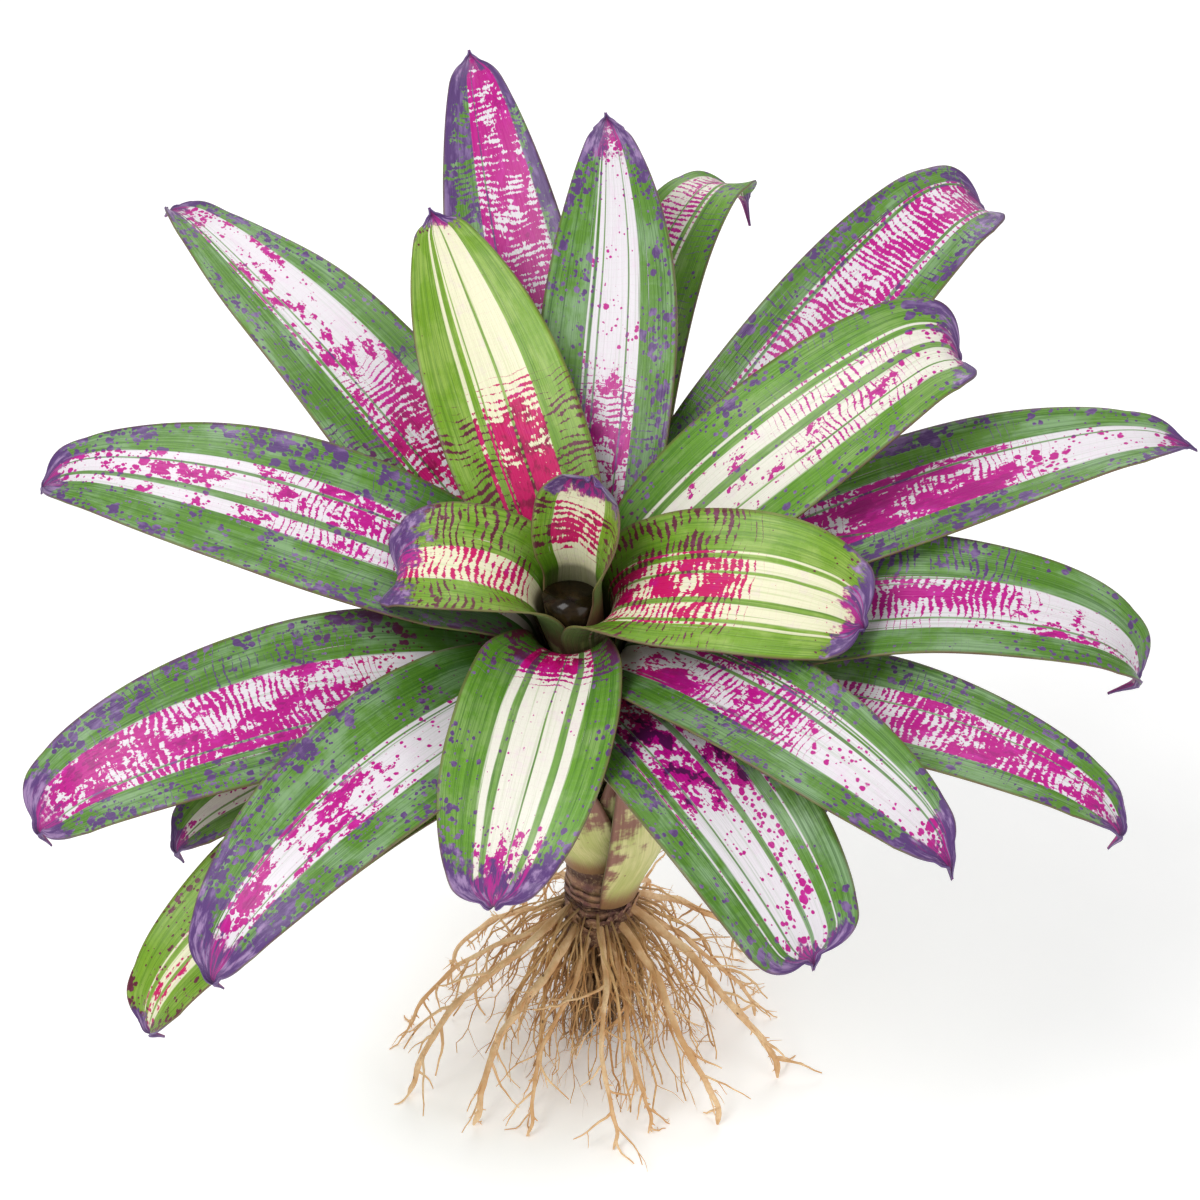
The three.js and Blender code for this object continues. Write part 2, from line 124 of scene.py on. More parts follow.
@dataclass(frozen=True)
class Wire:
    """An output of a material's nodes, on which sums are written as Python expressions."""

    sheet: "Sheet"
    socket: bpy.types.NodeSocket

    def maths(self, operation: str, *values: "Wire | float") -> "Wire":
        """Adds one Math node.

        Args:
            operation: the node's operation.
            values: its inputs, in order.

        Returns:
            The node's result.
        """
        inputs = dict(enumerate(values))
        return self.sheet.node("Math", {"operation": operation}, inputs)

    def __add__(self, other: "Wire | float") -> "Wire":
        """The sum."""
        return self.maths("ADD", self, other)

    def __radd__(self, other: float) -> "Wire":
        """The sum, with the number first."""
        return self.maths("ADD", other, self)

    def __sub__(self, other: "Wire | float") -> "Wire":
        """The difference."""
        return self.maths("SUBTRACT", self, other)

    def __rsub__(self, other: float) -> "Wire":
        """The difference, with the number first."""
        return self.maths("SUBTRACT", other, self)

    def __mul__(self, other: "Wire | float") -> "Wire":
        """The product."""
        return self.maths("MULTIPLY", self, other)

    def __rmul__(self, other: float) -> "Wire":
        """The product, with the number first."""
        return self.maths("MULTIPLY", other, self)

    def __truediv__(self, other: "Wire | float") -> "Wire":
        """The quotient."""
        return self.maths("DIVIDE", self, other)

    def __abs__(self) -> "Wire":
        """The size without its sign."""
        return self.maths("ABSOLUTE", self)

    def most(self, other: "Wire | float") -> "Wire":
        """The larger of the two."""
        return self.maths("MAXIMUM", self, other)

    def step(self, low: float, high: float) -> "Wire":
        """Rises smoothly from 0 at low to 1 at high.

        Args:
            low: the value where the rise starts.
            high: the value where it ends.

        Returns:
            The share from 0 to 1.
        """
        settings = {"interpolation_type": "SMOOTHSTEP"}
        return self.sheet.node("MapRange", settings, {0: self, 1: low, 2: high})

    def window(self, low: float, high: float, edge: float) -> "Wire":
        """1 between low and high, and 0 outside, with soft edges.

        Args:
            low: the middle of the rise.
            high: the middle of the fall.
            edge: half the width of each.

        Returns:
            The share from 0 to 1.
        """
        rise = self.step(low - edge, low + edge)
        return rise * (1 - self.step(high - edge, high + edge))


Value = Wire | float
Paint = Wire | Colour
FRAY_REACH = 0.34  # how far the edge of a spot strays, in cells
LARGEST_SPOT = 0.62  # its largest radius, in cells


class Sheet:
    """The nodes of one material."""

    def __init__(self, name: str) -> None:
        """Makes an empty material of that name."""
        self.material = bpy.data.materials.new(name)
        self.material.use_nodes = True
        self.tree = self.material.node_tree
        self.tree.nodes.clear()

    def node(
        self,
        kind: str,
        settings: dict[str, object],
        inputs: dict[int | str, object],
        out: int | str = 0,
    ) -> Wire:
        """Adds a node.

        Args:
            kind: its type, without the ShaderNode that all the types start with.
            settings: its properties, which are set before its sockets.
            inputs: a value or a wire for each input that isn't left alone.
            out: the output that is wanted.

        Returns:
            That output.
        """
        made = self.tree.nodes.new("ShaderNode" + kind)
        for name, setting in settings.items():
            setattr(made, name, setting)
        for key, value in inputs.items():
            if isinstance(value, Wire):
                self.tree.links.new(value.socket, made.inputs[key])
            else:
                made.inputs[key].default_value = value
        return Wire(self, made.outputs[out])

    def split(self, vector: Wire) -> tuple[Wire, Wire, Wire]:
        """The three parts of a vector or a colour."""
        parts = self.node("SeparateXYZ", {}, {0: vector})
        outputs = parts.socket.node.outputs
        return Wire(self, outputs[0]), Wire(self, outputs[1]), Wire(self, outputs[2])

    def place(self, x: Value, y: Value, z: Value = 0.0) -> Wire:
        """A vector of three parts."""
        return self.node("CombineXYZ", {}, {0: x, 1: y, 2: z})

    def chart(self, name: str) -> tuple[Wire, Wire]:
        """The two coordinates of one of the piece's own UV maps."""
        u, v, _ = self.split(self.node("UVMap", {"uv_map": name}, {}))
        return u, v

    def position(self) -> Wire:
        """The place on the piece, in its own metres."""
        return self.node("TexCoord", {}, {}, "Object")

    def cloud(self, at: Wire, scale: float = 1.0, detail: float = 2.0, rough: float = 0.5) -> Wire:
        """Soft noise.

        Args:
            at: where it is read.
            scale: how many cells there are in a unit.
            detail: how many finer layers are added.
            rough: how strong the finer layers are.

        Returns:
            A value that stays round 0.5.
        """
        return self.node("TexNoise", {}, {0: at, "Scale": scale, "Detail": detail, "Roughness": rough})

    def scaled(self, vector: Wire, by: float) -> Wire:
        """A vector made longer."""
        return self.node("VectorMath", {"operation": "SCALE"}, {0: vector, "Scale": by})

    def mix(self, share: Value, first: Paint, second: Paint) -> Wire:
        """The colour at a share of the way from the first to the second."""
        return self.node("Mix", {"data_type": "RGBA"}, {0: share, 6: first, 7: second}, 2)

    def freckles(self, at: Wire, amount: Value, soft: float = 0.07) -> Wire:
        """Ragged spots of many sizes, one at most in a cell, that run together past an amount of 1.

        Args:
            at: where they are read, with one cell in a unit.
            amount: the share of cells that hold a spot.
            soft: the width of a spot's edge.

        Returns:
            1 on the spots and 0 between them.
        """
        fray = self.node("TexNoise", {}, {0: at, "Scale": 1.9, "Detail": 2.0, "Roughness": 0.6}, 1)
        at = self.node("VectorMath", {"operation": "ADD"}, {0: at, 1: self.scaled(fray, FRAY_REACH)})
        cells = self.node("TexVoronoi", {}, {0: at, "Scale": 1.0})
        chance, _, _ = self.split(Wire(self, cells.socket.node.outputs[1]))
        radius = (chance - 1 + amount) * LARGEST_SPOT
        return (radius - cells).step(0, soft)

    def surface(
        self,
        inputs: dict[int | str, object],
        height: Wire | None = None,
        relief: float = 0.0,
    ) -> bpy.types.Material:
        """Ends the sheet in a Principled shader.

        Args:
            inputs: the shader's sockets.
            height: the relief's height from 0 to 1.
            relief: how deep it is, in millimetres.

        Returns:
            The material.
        """
        if height is not None:
            bump = {"Strength": 1.0, "Distance": relief * MM, "Height": height}
            inputs = inputs | {"Normal": self.node("Bump", {}, bump)}
        shader = self.node("BsdfPrincipled", {}, inputs)
        self.node_output(shader)
        return self.material

    def node_output(self, shader: Wire) -> None:
        """Joins a shader to the material's surface."""
        output = self.tree.nodes.new("ShaderNodeOutputMaterial")
        self.tree.links.new(shader.socket, output.inputs["Surface"])


# ---------------------------------------------------------------- the leaves' finish


class Tone(Enum):
    """The green of a leaf, plain, deep and under its bloom, and the cream of its centre."""

    FRESH = (srgb(118, 160, 34), srgb(64, 112, 12), srgb(148, 178, 80), srgb(232, 229, 196))
    MID = (srgb(98, 150, 34), srgb(44, 96, 14), srgb(130, 166, 88), srgb(230, 227, 214))
    RIPE = (srgb(90, 138, 42), srgb(38, 86, 18), srgb(134, 168, 122), srgb(226, 220, 226))


@dataclass(frozen=True)
class Span:
    """A stretch of the blade, as shares of its length from the throat, and how much is marked."""

    start: float = 0.0
    end: float = 1.0
    amount: float = 0.0


@dataclass(frozen=True)
class Variegation:
    """The colouring of one blade.

    Places across the blade run from -1 to 1, and the side that is anticlockwise is positive. centre
    and band lay the pale middle, and each green or cream line is its place and half of its width.
    grain is how long the blots are drawn out. spots and freckled are the amounts of spots on pale and
    on green skin, and edging adds some at the margins. tip is the length of the coloured tip in
    millimetres. crimson is the share of the blade where the marks turn from red to magenta. murk is
    how far the blots run on over green skin, combed is how far the bars do, core is how dark the
    blots' hearts are, and side keeps the bars to one side.
    """

    tone: Tone
    centre: float = 0.0
    band: float = 0.42
    green_lines: tuple[tuple[float, float], ...] = ()
    cream_lines: tuple[tuple[float, float], ...] = ()
    bars: Span = Span()
    blots: Span = Span()
    grain: float = 1.6
    spots: float = 0.4
    freckled: float = 0.5
    tip: float = 18.0
    crimson: float = 0.25
    murk: float = 0.35
    edging: float = 0.25
    combed: float = 0.16
    core: float = 0.3
    side: float = 0.0


WHITE = (1.0, 1.0, 1.0, 1.0)
MAGENTA = srgb(184, 0, 132)
CRIMSON = srgb(196, 0, 94)
DEEP_RED = srgb(136, 0, 62)
AUBERGINE = srgb(84, 12, 76)
ROSE = srgb(206, 46, 166)
PINK_TINT = srgb(226, 190, 218)
VIOLET = srgb(88, 58, 114)
PLUM = srgb(138, 112, 160)
MAROON = srgb(92, 22, 46)
MAUVE = srgb(122, 54, 90)
TIP_VIOLET = srgb(90, 58, 118)
TIP_PINK = srgb(178, 34, 136)
# a pale lilac painted on the tip caps as a painted highlight, their sheen
TIP_SHEEN = srgb(176, 146, 190)
RIM_BROWN = srgb(108, 84, 60)
THROAT_SHADE = srgb(40, 52, 18)
SHEATH_PALE = srgb(214, 208, 146)
SHEATH_CREAM = srgb(206, 196, 158)
SHEATH_GREEN = srgb(166, 176, 88)
SHEATH_PURPLE = srgb(122, 24, 64)
SHEATH_BROWN = srgb(138, 92, 64)
SHEATH_EDGE = srgb(112, 76, 56)
THROAT_CREAM = srgb(204, 190, 150)
UNDER_GREY = srgb(128, 148, 118)
ROOT_BARK = (srgb(250, 216, 170), srgb(220, 170, 116), srgb(104, 60, 32))
FINE_ROOT_BARK = (srgb(236, 196, 138), srgb(190, 138, 82), srgb(58, 34, 18))


@dataclass(frozen=True)
class LeafFinish:
    """The skin of one leaf, on its upper or its under side."""

    name: str
    colours: Variegation
    seed: float
    length: float
    under: bool
    rough: float = 0.3
    gloss: float = 0.34
    coat: float = 0.1
    relief: float = 0.45

    def build(self) -> bpy.types.Material:
        """Makes the material."""
        skin = LeafSkin(self)
        colour = skin.sheath_over(skin.blade())
        inputs = {
            "Base Color": colour,
            "Roughness": self.rough + skin.veins * 0.18 + (0.12 if self.under else 0.0),
            "Specular IOR Level": self.gloss,
            "Coat Weight": 0.0 if self.under else self.coat,
            "Coat Roughness": 0.25,
        }
        height = skin.veins * 0.75 + skin.cloud(skin.t * 15, skin.u * 30) * 0.4
        return skin.sheet.surface(inputs, height, self.relief)


class LeafSkin:
    """The nodes that colour one side of a leaf.

    t and u are the place across and along the blade, as shares; x and y are the same place on the
    leaf laid flat, in millimetres. Below the throat u stays 0 and y is negative.
    """

    SPOT_SIZES = ((6.2, 0.7, 1), (3.6, 0.9, 3), (2.0, 0.95, 11))
    BAR_STEP = 3.3
    BLOT_EDGE = 0.03
    LINE_EDGE = 0.008

    def __init__(self, finish: LeafFinish) -> None:
        """Reads the places on a leaf.

        Args:
            finish: the leaf's finish.
        """
        self.finish = finish
        self.look = finish.colours
        self.sheet = Sheet(finish.name)
        share, self.u = self.sheet.chart("Share")
        self.t = share * 2 - 1
        flat_x, flat_y = self.sheet.chart("Blade")
        self.x, self.y = flat_x * UV_UNIT, flat_y * UV_UNIT
        self.veins = self.cloud(self.t * 46, self.u * 3, 0, 3, 0.6)
        self.pale = self.lines()

    def cloud(self, x: Value, y: Value, key: int = 0, detail: float = 2, rough: float = 0.5) -> Wire:
        """Soft noise of this leaf's own, at its seed and a key that tells its clouds apart."""
        return self.sheet.cloud(self.sheet.place(x, y, self.finish.seed + key), 1, detail, rough)

    def patches(self, x: float, y: float, key: int, detail: float = 2, rough: float = 0.5) -> Wire:
        """Soft noise with cells of x by y millimetres."""
        return self.cloud(self.x / x, self.y / y, key, detail, rough)

    def freckles(self, x: float, y: float, key: int, amount: Value) -> Wire:
        """Spots in cells of x by y millimetres."""
        at = self.sheet.place(self.x / x, self.y / y, self.finish.seed + key)
        return self.sheet.freckles(at, amount)

    def lines(self) -> Wire:
        """The pale centre of the blade with its green and cream lines.

        Returns:
            The share of pale skin.
        """
        look, veins, edge = self.look, self.veins, self.LINE_EDGE
        broad = self.cloud(self.t * 15, self.u * 1.2, 7)
        drift = self.sheet.cloud(self.sheet.place(self.u * 2.4, self.finish.seed, 0.0), 1, 1)
        at = self.t + (drift - 0.5) * 0.1
        inside = look.band - abs(at - look.centre) + (veins - 0.5) * 0.07 + (broad - 0.5) * 0.06
        pale = inside.step(-0.01, 0.01)
        stray_green = broad.step(0.68, 0.72) * (1 - inside.step(0.06, 0.22)) * 0.8
        pale = pale * (1 - stray_green)
        for middle, half in look.green_lines:
            line = half - abs(at - middle) + (veins - 0.5) * 0.03
            pale = pale * (1 - line.step(-edge, edge) * 0.94)
        stray_cream = veins.step(0.66, 0.7) * inside.window(-0.16, -0.03, 0.03) * 0.7
        pale = pale.most(stray_cream)
        for middle, half in look.cream_lines:
            line = half - abs(at - middle) + (veins - 0.5) * 0.02
            pale = pale.most(line.step(-edge, edge) * 0.95)
        return pale

    def ground(self) -> Wire:
        """The leaf's colour before it is marked.

        Returns:
            The colour.
        """
        mix, u, veins = self.sheet.mix, self.u, self.veins
        green, deep, bloom, cream = self.look.tone.value
        patches = self.cloud(self.t * 3, u * 9, 2, 4, 0.6)
        streak = self.cloud(self.t * 30, u * 2, 4)
        scurf = self.cloud(self.t * 2.5, u * 75, 3)
        shade = mix(patches.step(0.44, 0.64) * 0.85, green, bloom)
        shade = mix(scurf.step(0.5, 0.72) * 0.22, shade, bloom)
        shade = mix(veins.step(0.46, 0.66) * 0.5, shade, deep)
        shade = mix(streak.step(0.5, 0.68) * 0.4, shade, deep)
        shade = mix((1 - veins.step(0.3, 0.4)) * 0.4, shade, bloom)
        shade = mix((1 - u.step(0.0, 0.45)) * 0.7, shade, deep)
        tint = mix(streak.step(0.54, 0.74) * 0.35, cream, bloom)
        tint = mix(veins.step(0.5, 0.75) * 0.16, tint, bloom)
        tint = mix((1 - u.step(0.0, 0.2)) * 0.5, tint, THROAT_CREAM)
        return mix(self.pale, shade, tint)

    def blots(self, patch: Wire, fray: Wire) -> tuple[Wire, Wire, Wire]:
        """The large ragged blots.

        Args:
            patch: the cloud that the blots are cut from.
            fray: a finer cloud that tears their edges.

        Returns:
            How far a pale skin, a green skin and a blot's dark heart are covered, from 0 to 1.
        """
        span, edge = self.look.blots, self.BLOT_EDGE
        reach = self.u.window(span.start, span.end, 0.07)
        ragged = patch + (fray - 0.5) * 0.62 - (1 - reach) * 0.4
        level = 0.7 - 0.24 * span.amount
        dark = level + 0.22 * (1 - self.look.murk)
        heart = (ragged - (fray - 0.5) * 0.35).step(level + 0.09, level + 0.13)
        return ragged.step(level, level + edge), ragged.step(dark, dark + edge), heart

    def bars(self) -> Wire:
        """The crosswise bars, which are fine dashes from vein to vein and run together in places.

        Returns:
            1 on the bars and 0 between them.
        """
        span, side = self.look.bars, self.look.side
        bow = (self.patches(18, 24, 6, 1) - 0.5) * 10
        jag = self.patches(0.8, 9, 0, 2, 0.7) - 0.5
        height = (self.y + bow + jag * 1.5) / self.BAR_STEP
        rung = height.maths("PINGPONG", height, 0.5) * 2
        swell = self.patches(8, 12, 12, 4, 0.62).step(0.36, 0.62)
        dash = self.patches(0.9, 4, 14, 2, 0.6)
        reach = self.u.window(span.start, span.end, 0.08) * span.amount
        fill = 0.12 + 1.0 * swell + (dash - 0.5) * 1.7
        if side != 0:
            other = 1 - (self.t * math.copysign(1, side)).step(-0.4, 0.2)
            reach = reach * (1 - other * abs(side))
        width = reach * fill * (self.pale + (1 - self.pale) * (swell * 1.5 * self.look.combed))
        return (width - rung).step(-0.05, 0.1)

    def marks(self) -> tuple[Wire, Wire, Value]:
        """The spots, bars and blots, and the coloured tip that they run together in.

        Returns:
            How far the skin is marked, how far it belongs to the tip, and the dark hearts.
        """
        look, pale, u, margin = self.look, self.pale, self.u, abs(self.t)
        drift = self.patches(18, 26, 5).step(0.36, 0.62)
        patch = self.patches(11, 11 * look.grain, 8, 4, 0.62)
        fray = self.patches(2.2, 2.2 * look.grain, 10, 3, 0.65)
        on_pale = look.spots * (0.35 + 0.65 * drift)
        on_green = look.freckled * (0.35 + 0.65 * drift) + margin.step(0.55, 0.95) * look.edging
        end = (u - 1) / (look.tip / self.finish.length) + 1 + margin * 0.35
        tip = (end + (patch - 0.5) * 2.3 + (fray - 0.5) * 1.2).step(0.15, 0.45)
        solid = tip
        heart: Value = 0.0
        if look.blots.amount > 0:
            full, murky, core = self.blots(patch, fray)
            heart = core * look.core
            solid = solid.most(murky + pale * (full - murky))
            near = u.window(look.blots.start, look.blots.end, 0.07) * patch.step(0.4, 0.62)
            on_pale = on_pale + near * look.blots.amount * 0.45
            on_green = on_green + near * look.murk * 0.6
        near_tip = end.step(-1.4, 0.6) * 0.5
        amount = on_green + pale * (on_pale - on_green) + near_tip
        for size, share, key in self.SPOT_SIZES:
            solid = solid.most(self.freckles(size, size * 1.2, key, amount * share))
        if look.bars.amount > 0:
            solid = solid.most(self.bars())
        return solid, tip, heart

    def blade(self) -> Wire:
        """The blade's colour, with its marks, its tip with a painted sheen, and its brown margin.

        Returns:
            The colour.
        """
        mix, look, pale, t, u = self.sheet.mix, self.look, self.pale, self.t, self.u
        marks, tip, heart = self.marks()
        blush = self.cloud(t * 6, u * 22, 9, 4, 0.6)
        stripes = self.cloud(t * 9, u * 9, 15, 4, 0.65)
        # lighter patches: a paler real tone of the marks, and a painted sheen on the tip cap
        fade_and_sheen = blush.step(0.46, 0.66) * 0.75
        ripe = (u + (blush - 0.5) * 0.3).step(look.crimson - 0.14, look.crimson + 0.16)
        fresh = look.tone is Tone.FRESH
        strong, soft = (CRIMSON, MAGENTA) if fresh else (MAGENTA, ROSE)
        dark, light = (MAROON, MAUVE) if fresh else (VIOLET, PLUM)
        vivid = mix(blush.step(0.5, 0.72) * 0.6, strong, soft)
        on_pale = mix(ripe, mix(blush.step(0.36, 0.52), DEEP_RED, CRIMSON), vivid)
        on_pale = mix(heart, on_pale, AUBERGINE)
        on_pale = mix(tip, on_pale, mix(stripes.step(0.44, 0.58), TIP_PINK, TIP_VIOLET))
        on_green = mix(ripe, MAROON, mix(fade_and_sheen, dark, light))
        # painted sheen: lighter lilac patches on the violet tip cap stand in for a highlight
        cap = mix(fade_and_sheen, TIP_VIOLET, TIP_SHEEN)
        cap = mix(stripes.step(0.54, 0.62) * (1 - abs(t).step(0.3, 0.8)) * 0.7, cap, TIP_PINK)
        on_green = mix(tip, on_green, cap)
        colour = mix(pale * blush.step(0.5, 0.75) * 0.28, self.ground(), PINK_TINT)
        colour = mix(marks, colour, mix(pale, on_green, on_pale))
        margin = abs(t).step(0.955, 0.985) * (1 - u.step(0.93, 0.97))
        return mix(margin * 0.5, colour, RIM_BROWN)

    def sheath_over(self, colour: Wire) -> Wire:
        """Greys the under side, paints shade in the throat, and gives the sheath below it its own pale
        skin.

        Args:
            colour: the blade's colour.

        Returns:
            The colour of the whole leaf.
        """
        mix, margin, u, under = self.sheet.mix, abs(self.t), self.u, self.finish.under
        if under:
            scurf = self.patches(30, 1.6, 0)
            grey = (0.26 + scurf * 0.18) * (1 - u.step(0.93, 0.98))
            colour = mix(grey, colour, UNDER_GREY)
        fibres = self.patches(1.1, 40, 4, 3, 0.6)
        broad = self.patches(9, 26, 2, 3)
        pale = SHEATH_PALE if under else SHEATH_CREAM
        skin = mix(fibres.step(0.4, 0.72) * 0.6, pale, SHEATH_GREEN)
        skin = mix(broad.step(0.42, 0.62) * 0.5, skin, SHEATH_GREEN)
        _, foot = self.sheet.chart("Foot")
        stain = self.patches(20, 16, 6, 4, 0.6) + (fibres - 0.5) * 0.2
        stain = stain + margin.step(0.35, 1.0) * 0.24 + foot.step(0.35, 0.8) * 0.1
        stain = stain + self.y.step(-70, -10) * 0.12
        skin = mix(stain.step(0.66, 0.8) * (0.8 if under else 0.35), skin, SHEATH_PURPLE)
        skin = mix(self.freckles(4, 5, 13, 0.3) * 0.7, skin, SHEATH_PURPLE)
        torn = foot + (fibres - 0.5) * 0.1
        skin = mix((1 - torn.step(0.02, 0.16)) * 0.9, skin, SHEATH_BROWN)
        skin = mix(margin.step(0.93, 0.99) * 0.8, skin, SHEATH_EDGE)
        # painted shade: the blade's foot and the inside of the sheath are darkened towards the throat
        if not under:
            colour = mix((1 - u.step(0.0, 0.07)) * 0.55, colour, THROAT_SHADE)
            skin = mix(0.72, skin, THROAT_SHADE)
        return mix((self.y + (fibres - 0.5) * 14).step(-16, 6), skin, colour)


@dataclass(frozen=True)
class RimFinish:
    """The thin brownish margin of every leaf."""

    name: str = "leaf_rim"

    def build(self) -> bpy.types.Material:
        """Makes the material."""
        sheet = Sheet(self.name)
        at = sheet.position()
        patches = sheet.cloud(at, 60, 3)
        colour = sheet.mix(patches.step(0.4, 0.65), RIM_BROWN, srgb(112, 116, 60))
        _, u = sheet.chart("Share")
        colour = sheet.mix(u.step(0.88, 0.95), colour, TIP_VIOLET)
        return sheet.surface({"Base Color": colour, "Roughness": 0.5})


@dataclass(frozen=True)
class RootFinish:
    """The bark of a root, spotted with scars, with painted shade that darkens it within heart metres of
    the axis.
    """

    name: str
    light: Colour
    dark: Colour
    scar: Colour
    heart: float
    scars: float = 0.36
    scar_cells: float = 190.0

    def build(self) -> bpy.types.Material:
        """Makes the material."""
        sheet = Sheet(self.name)
        at = sheet.position()
        wide = sheet.cloud(at, 70, 3, 0.6)
        fine = sheet.cloud(at, 900, 3, 0.65)
        colour = sheet.mix(wide.step(0.34, 0.66), self.light, self.dark)
        colour = sheet.mix(fine.step(0.45, 0.75) * 0.5, colour, self.dark)
        scars = sheet.freckles(sheet.scaled(at, self.scar_cells), self.scars)
        colour = sheet.mix(scars * 0.85, colour, self.scar)
        # painted shade: nearer the axis, where the roots lie under the rosette, the bark turns towards
        # the scar colour
        x, y, z = sheet.split(at)
        square = x * x + y * y
        out = square.maths("SQRT", square)
        colour = sheet.mix((1 - out.step(0.004, self.heart)) * 0.8, colour, self.scar)
        colour = sheet.mix(z.step(0.06, 0.085) * 0.25, colour, self.scar)
        return sheet.surface({"Base Color": colour, "Roughness": 0.62}, fine * 0.7 + wide * 0.5, 0.5)


@dataclass(frozen=True)
class KnobFinish:
    """The scaly brown stem."""

    name: str = "stem_bark"

    def build(self) -> bpy.types.Material:
        """Makes the material."""
        sheet = Sheet(self.name)
        at = sheet.position()
        wide = sheet.cloud(at, 90, 4, 0.6)
        fine = sheet.cloud(at, 700, 3, 0.6)
        colour = sheet.mix(wide.step(0.36, 0.6), srgb(176, 132, 96), srgb(86, 52, 36))
        colour = sheet.mix(fine.step(0.5, 0.7) * 0.5, colour, srgb(210, 176, 132))
        _, _, z = sheet.split(at)
        blush = z.window(0.082, 0.1, 0.006) * wide.step(0.3, 0.6)
        colour = sheet.mix(blush * 0.4, colour, srgb(150, 92, 96))
        return sheet.surface({"Base Color": colour, "Roughness": 0.66}, fine * 0.6 + wide, 1.0)


@dataclass(frozen=True)
class WaterFinish:
    """Dark still water."""

    name: str = "cup_water"

    def build(self) -> bpy.types.Material:
        """Makes the material."""
        sheet = Sheet(self.name)
        at = sheet.position()
        murk = sheet.cloud(at, 160, 2)
        colour = sheet.mix(murk.step(0.35, 0.7), srgb(22, 15, 9), srgb(46, 34, 18))
        ripple = sheet.cloud(at, 60, 1)
        inputs = {"Base Color": colour, "Roughness": 0.16, "IOR": 1.33, "Specular IOR Level": 0.4}
        return sheet.surface(inputs, ripple, 0.12)


# ---------------------------------------------------------------- pieces


Finishes = Sequence[bpy.types.Material]


def put(name: str, data: bpy.types.ID) -> bpy.types.Object:
    """Puts a mesh, a curve, a lamp or a camera in the scene as an object.

    Args:
        name: the object's name.
        data: what it holds.

    Returns:
        The object.
    """
    made = bpy.data.objects.new(name, data)
    bpy.context.scene.collection.objects.link(made)
    return made


class Workshop:
    """Turns finished shapes into pieces of the plant."""

    @staticmethod
    def piece(name: str, shape: bmesh.types.BMesh, materials: Finishes) -> bpy.types.Object:
        """Makes an object of a shape that was modelled in millimetres.

        Args:
            name: the piece's name.
            shape: its faces, which are used up.
            materials: its material slots.

        Returns:
            The object, in the scene.
        """
        bmesh.ops.scale(shape, vec=(MM, MM, MM), verts=shape.verts)
        mesh = bpy.data.meshes.new(name)
        shape.to_mesh(mesh)
        shape.free()
        return Workshop.shown(name, mesh, materials)

    @staticmethod
    def shown(name: str, mesh: bpy.types.Mesh, materials: Finishes) -> bpy.types.Object:
        """Puts a mesh in the scene, shaded smooth.

        Args:
            name: the piece's name.
            mesh: its mesh, in metres.
            materials: its material slots.

        Returns:
            The object.
        """
        for material in materials:
            mesh.materials.append(material)
        mesh.shade_smooth()
        return put(name, mesh)

    @staticmethod
    def fix(piece: bpy.types.Object, slot: str, *nodes: str) -> None:
        """Fixes a piece to the plant in place of the solids that it stands for.

        Args:
            piece: the finished piece.
            slot: the record's material slot; not used.
            nodes: the solids.
        """
        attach(piece, BODY)
        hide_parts(*nodes)
        count = len(piece.data.polygons)
        LOG.info("%s stands for %s, with %d faces", piece.name, ", ".join(nodes), count)


@dataclass(frozen=True)
class Lean:
    """The bend of the plant between its upright foot and its leaning rosette."""

    angle: float = 20.0
    heading: float = 250.0
    from_z: float = 90.0
    to_z: float = 260.0
    steps: int = 60

    def tilt(self, z: float) -> float:
        """The lean at a height of the straight plant, in radians."""
        return math.radians(self.angle) * smooth(self.from_z, self.to_z, z)

    def carry(self, z: float) -> Matrix:
        """The move of the straight plant's level at height z to its place on the bent one.

        Args:
            z: the height on the straight plant.

        Returns:
            The transform.
        """
        out = 0.0
        up = min(z, self.from_z)
        rise = max(0.0, z - self.from_z) / self.steps
        for i in range(self.steps):
            tilt = self.tilt(self.from_z + (i + 0.5) * rise)
            out += rise * math.sin(tilt)
            up += rise * math.cos(tilt)
        shift = Matrix.Translation(polar(out, self.heading, up))
        turn = Matrix.Rotation(self.tilt(z), 4, polar(1, self.heading + 90))
        return shift @ turn @ Matrix.Translation((0, 0, -z))


@dataclass(frozen=True)
class LeafForm:
    """How one leaf grows.

    az is its heading; reach and rise say how far out and how far above the cup its tip is; lift is
    how far the blade goes on upwards before it bends out; fall is its slope at the tip and hang how
    long it keeps to it; curl rolls its last part under; lean and twist roll the blade and its end;
    sweep turns the tip sideways; full is the share where it starts to narrow and point how sharply;
    blunt is the share of the width that is left where it rounds off; wrap is half of the angle that
    its sheath clasps; tube raises the end of the sheath; channel is half of the arc that the blade's
    section makes, and opening the length over which the sheath's tight section opens to it; hook
    turns the beak at its tip down, and beak is how far that goes on past the tip; wave is the swing
    of its margins.
    """

    az: float
    reach: float
    rise: float
    lift: float
    wide: float
    fall: float = -20.0
    hang: float = 90.0
    curl: float = 30.0
    lean: float = 0.0
    twist: float = 0.0
    sweep: float = 0.0
    full: float = 0.45
    point: float = 1.0
    blunt: float = 0.25
    wrap: float | None = None
    tube: float = 0.0
    channel: float = 22.0
    opening: float = 75.0
    hook: float = 40.0
    beak: float = 6.0
    wave: float = 0.8


@dataclass(frozen=True)
class Station:
    """A place on a leaf's midrib, as radius and height.

    u is the share of the blade up to there, half is half of the leaf's width, along is the distance
    from the throat in millimetres, which is negative on the sheath, and foot is the share of the
    sheath up to there.
    """

    place: Vector
    u: float
    half: float
    along: float
    foot: float


@dataclass(frozen=True)
class LeafRow:
    """One cross-section of a leaf, which bends up from its middle."""

    point: Vector
    side: Vector
    up: Vector
    bend: float
    at: Station

    def spot(self, t: float, wave: float) -> Vector:
        """A point of the section.

        Args:
            t: its place across, from -1 to 1.
            wave: how far the margins are lifted.

        Returns:
            The point.
        """
        angle = self.bend * self.at.half * t
        radius = 1 / self.bend
        place = self.point + self.side * (radius * math.sin(angle))
        return place + self.up * (radius * (1 - math.cos(angle)) + wave * t * t)


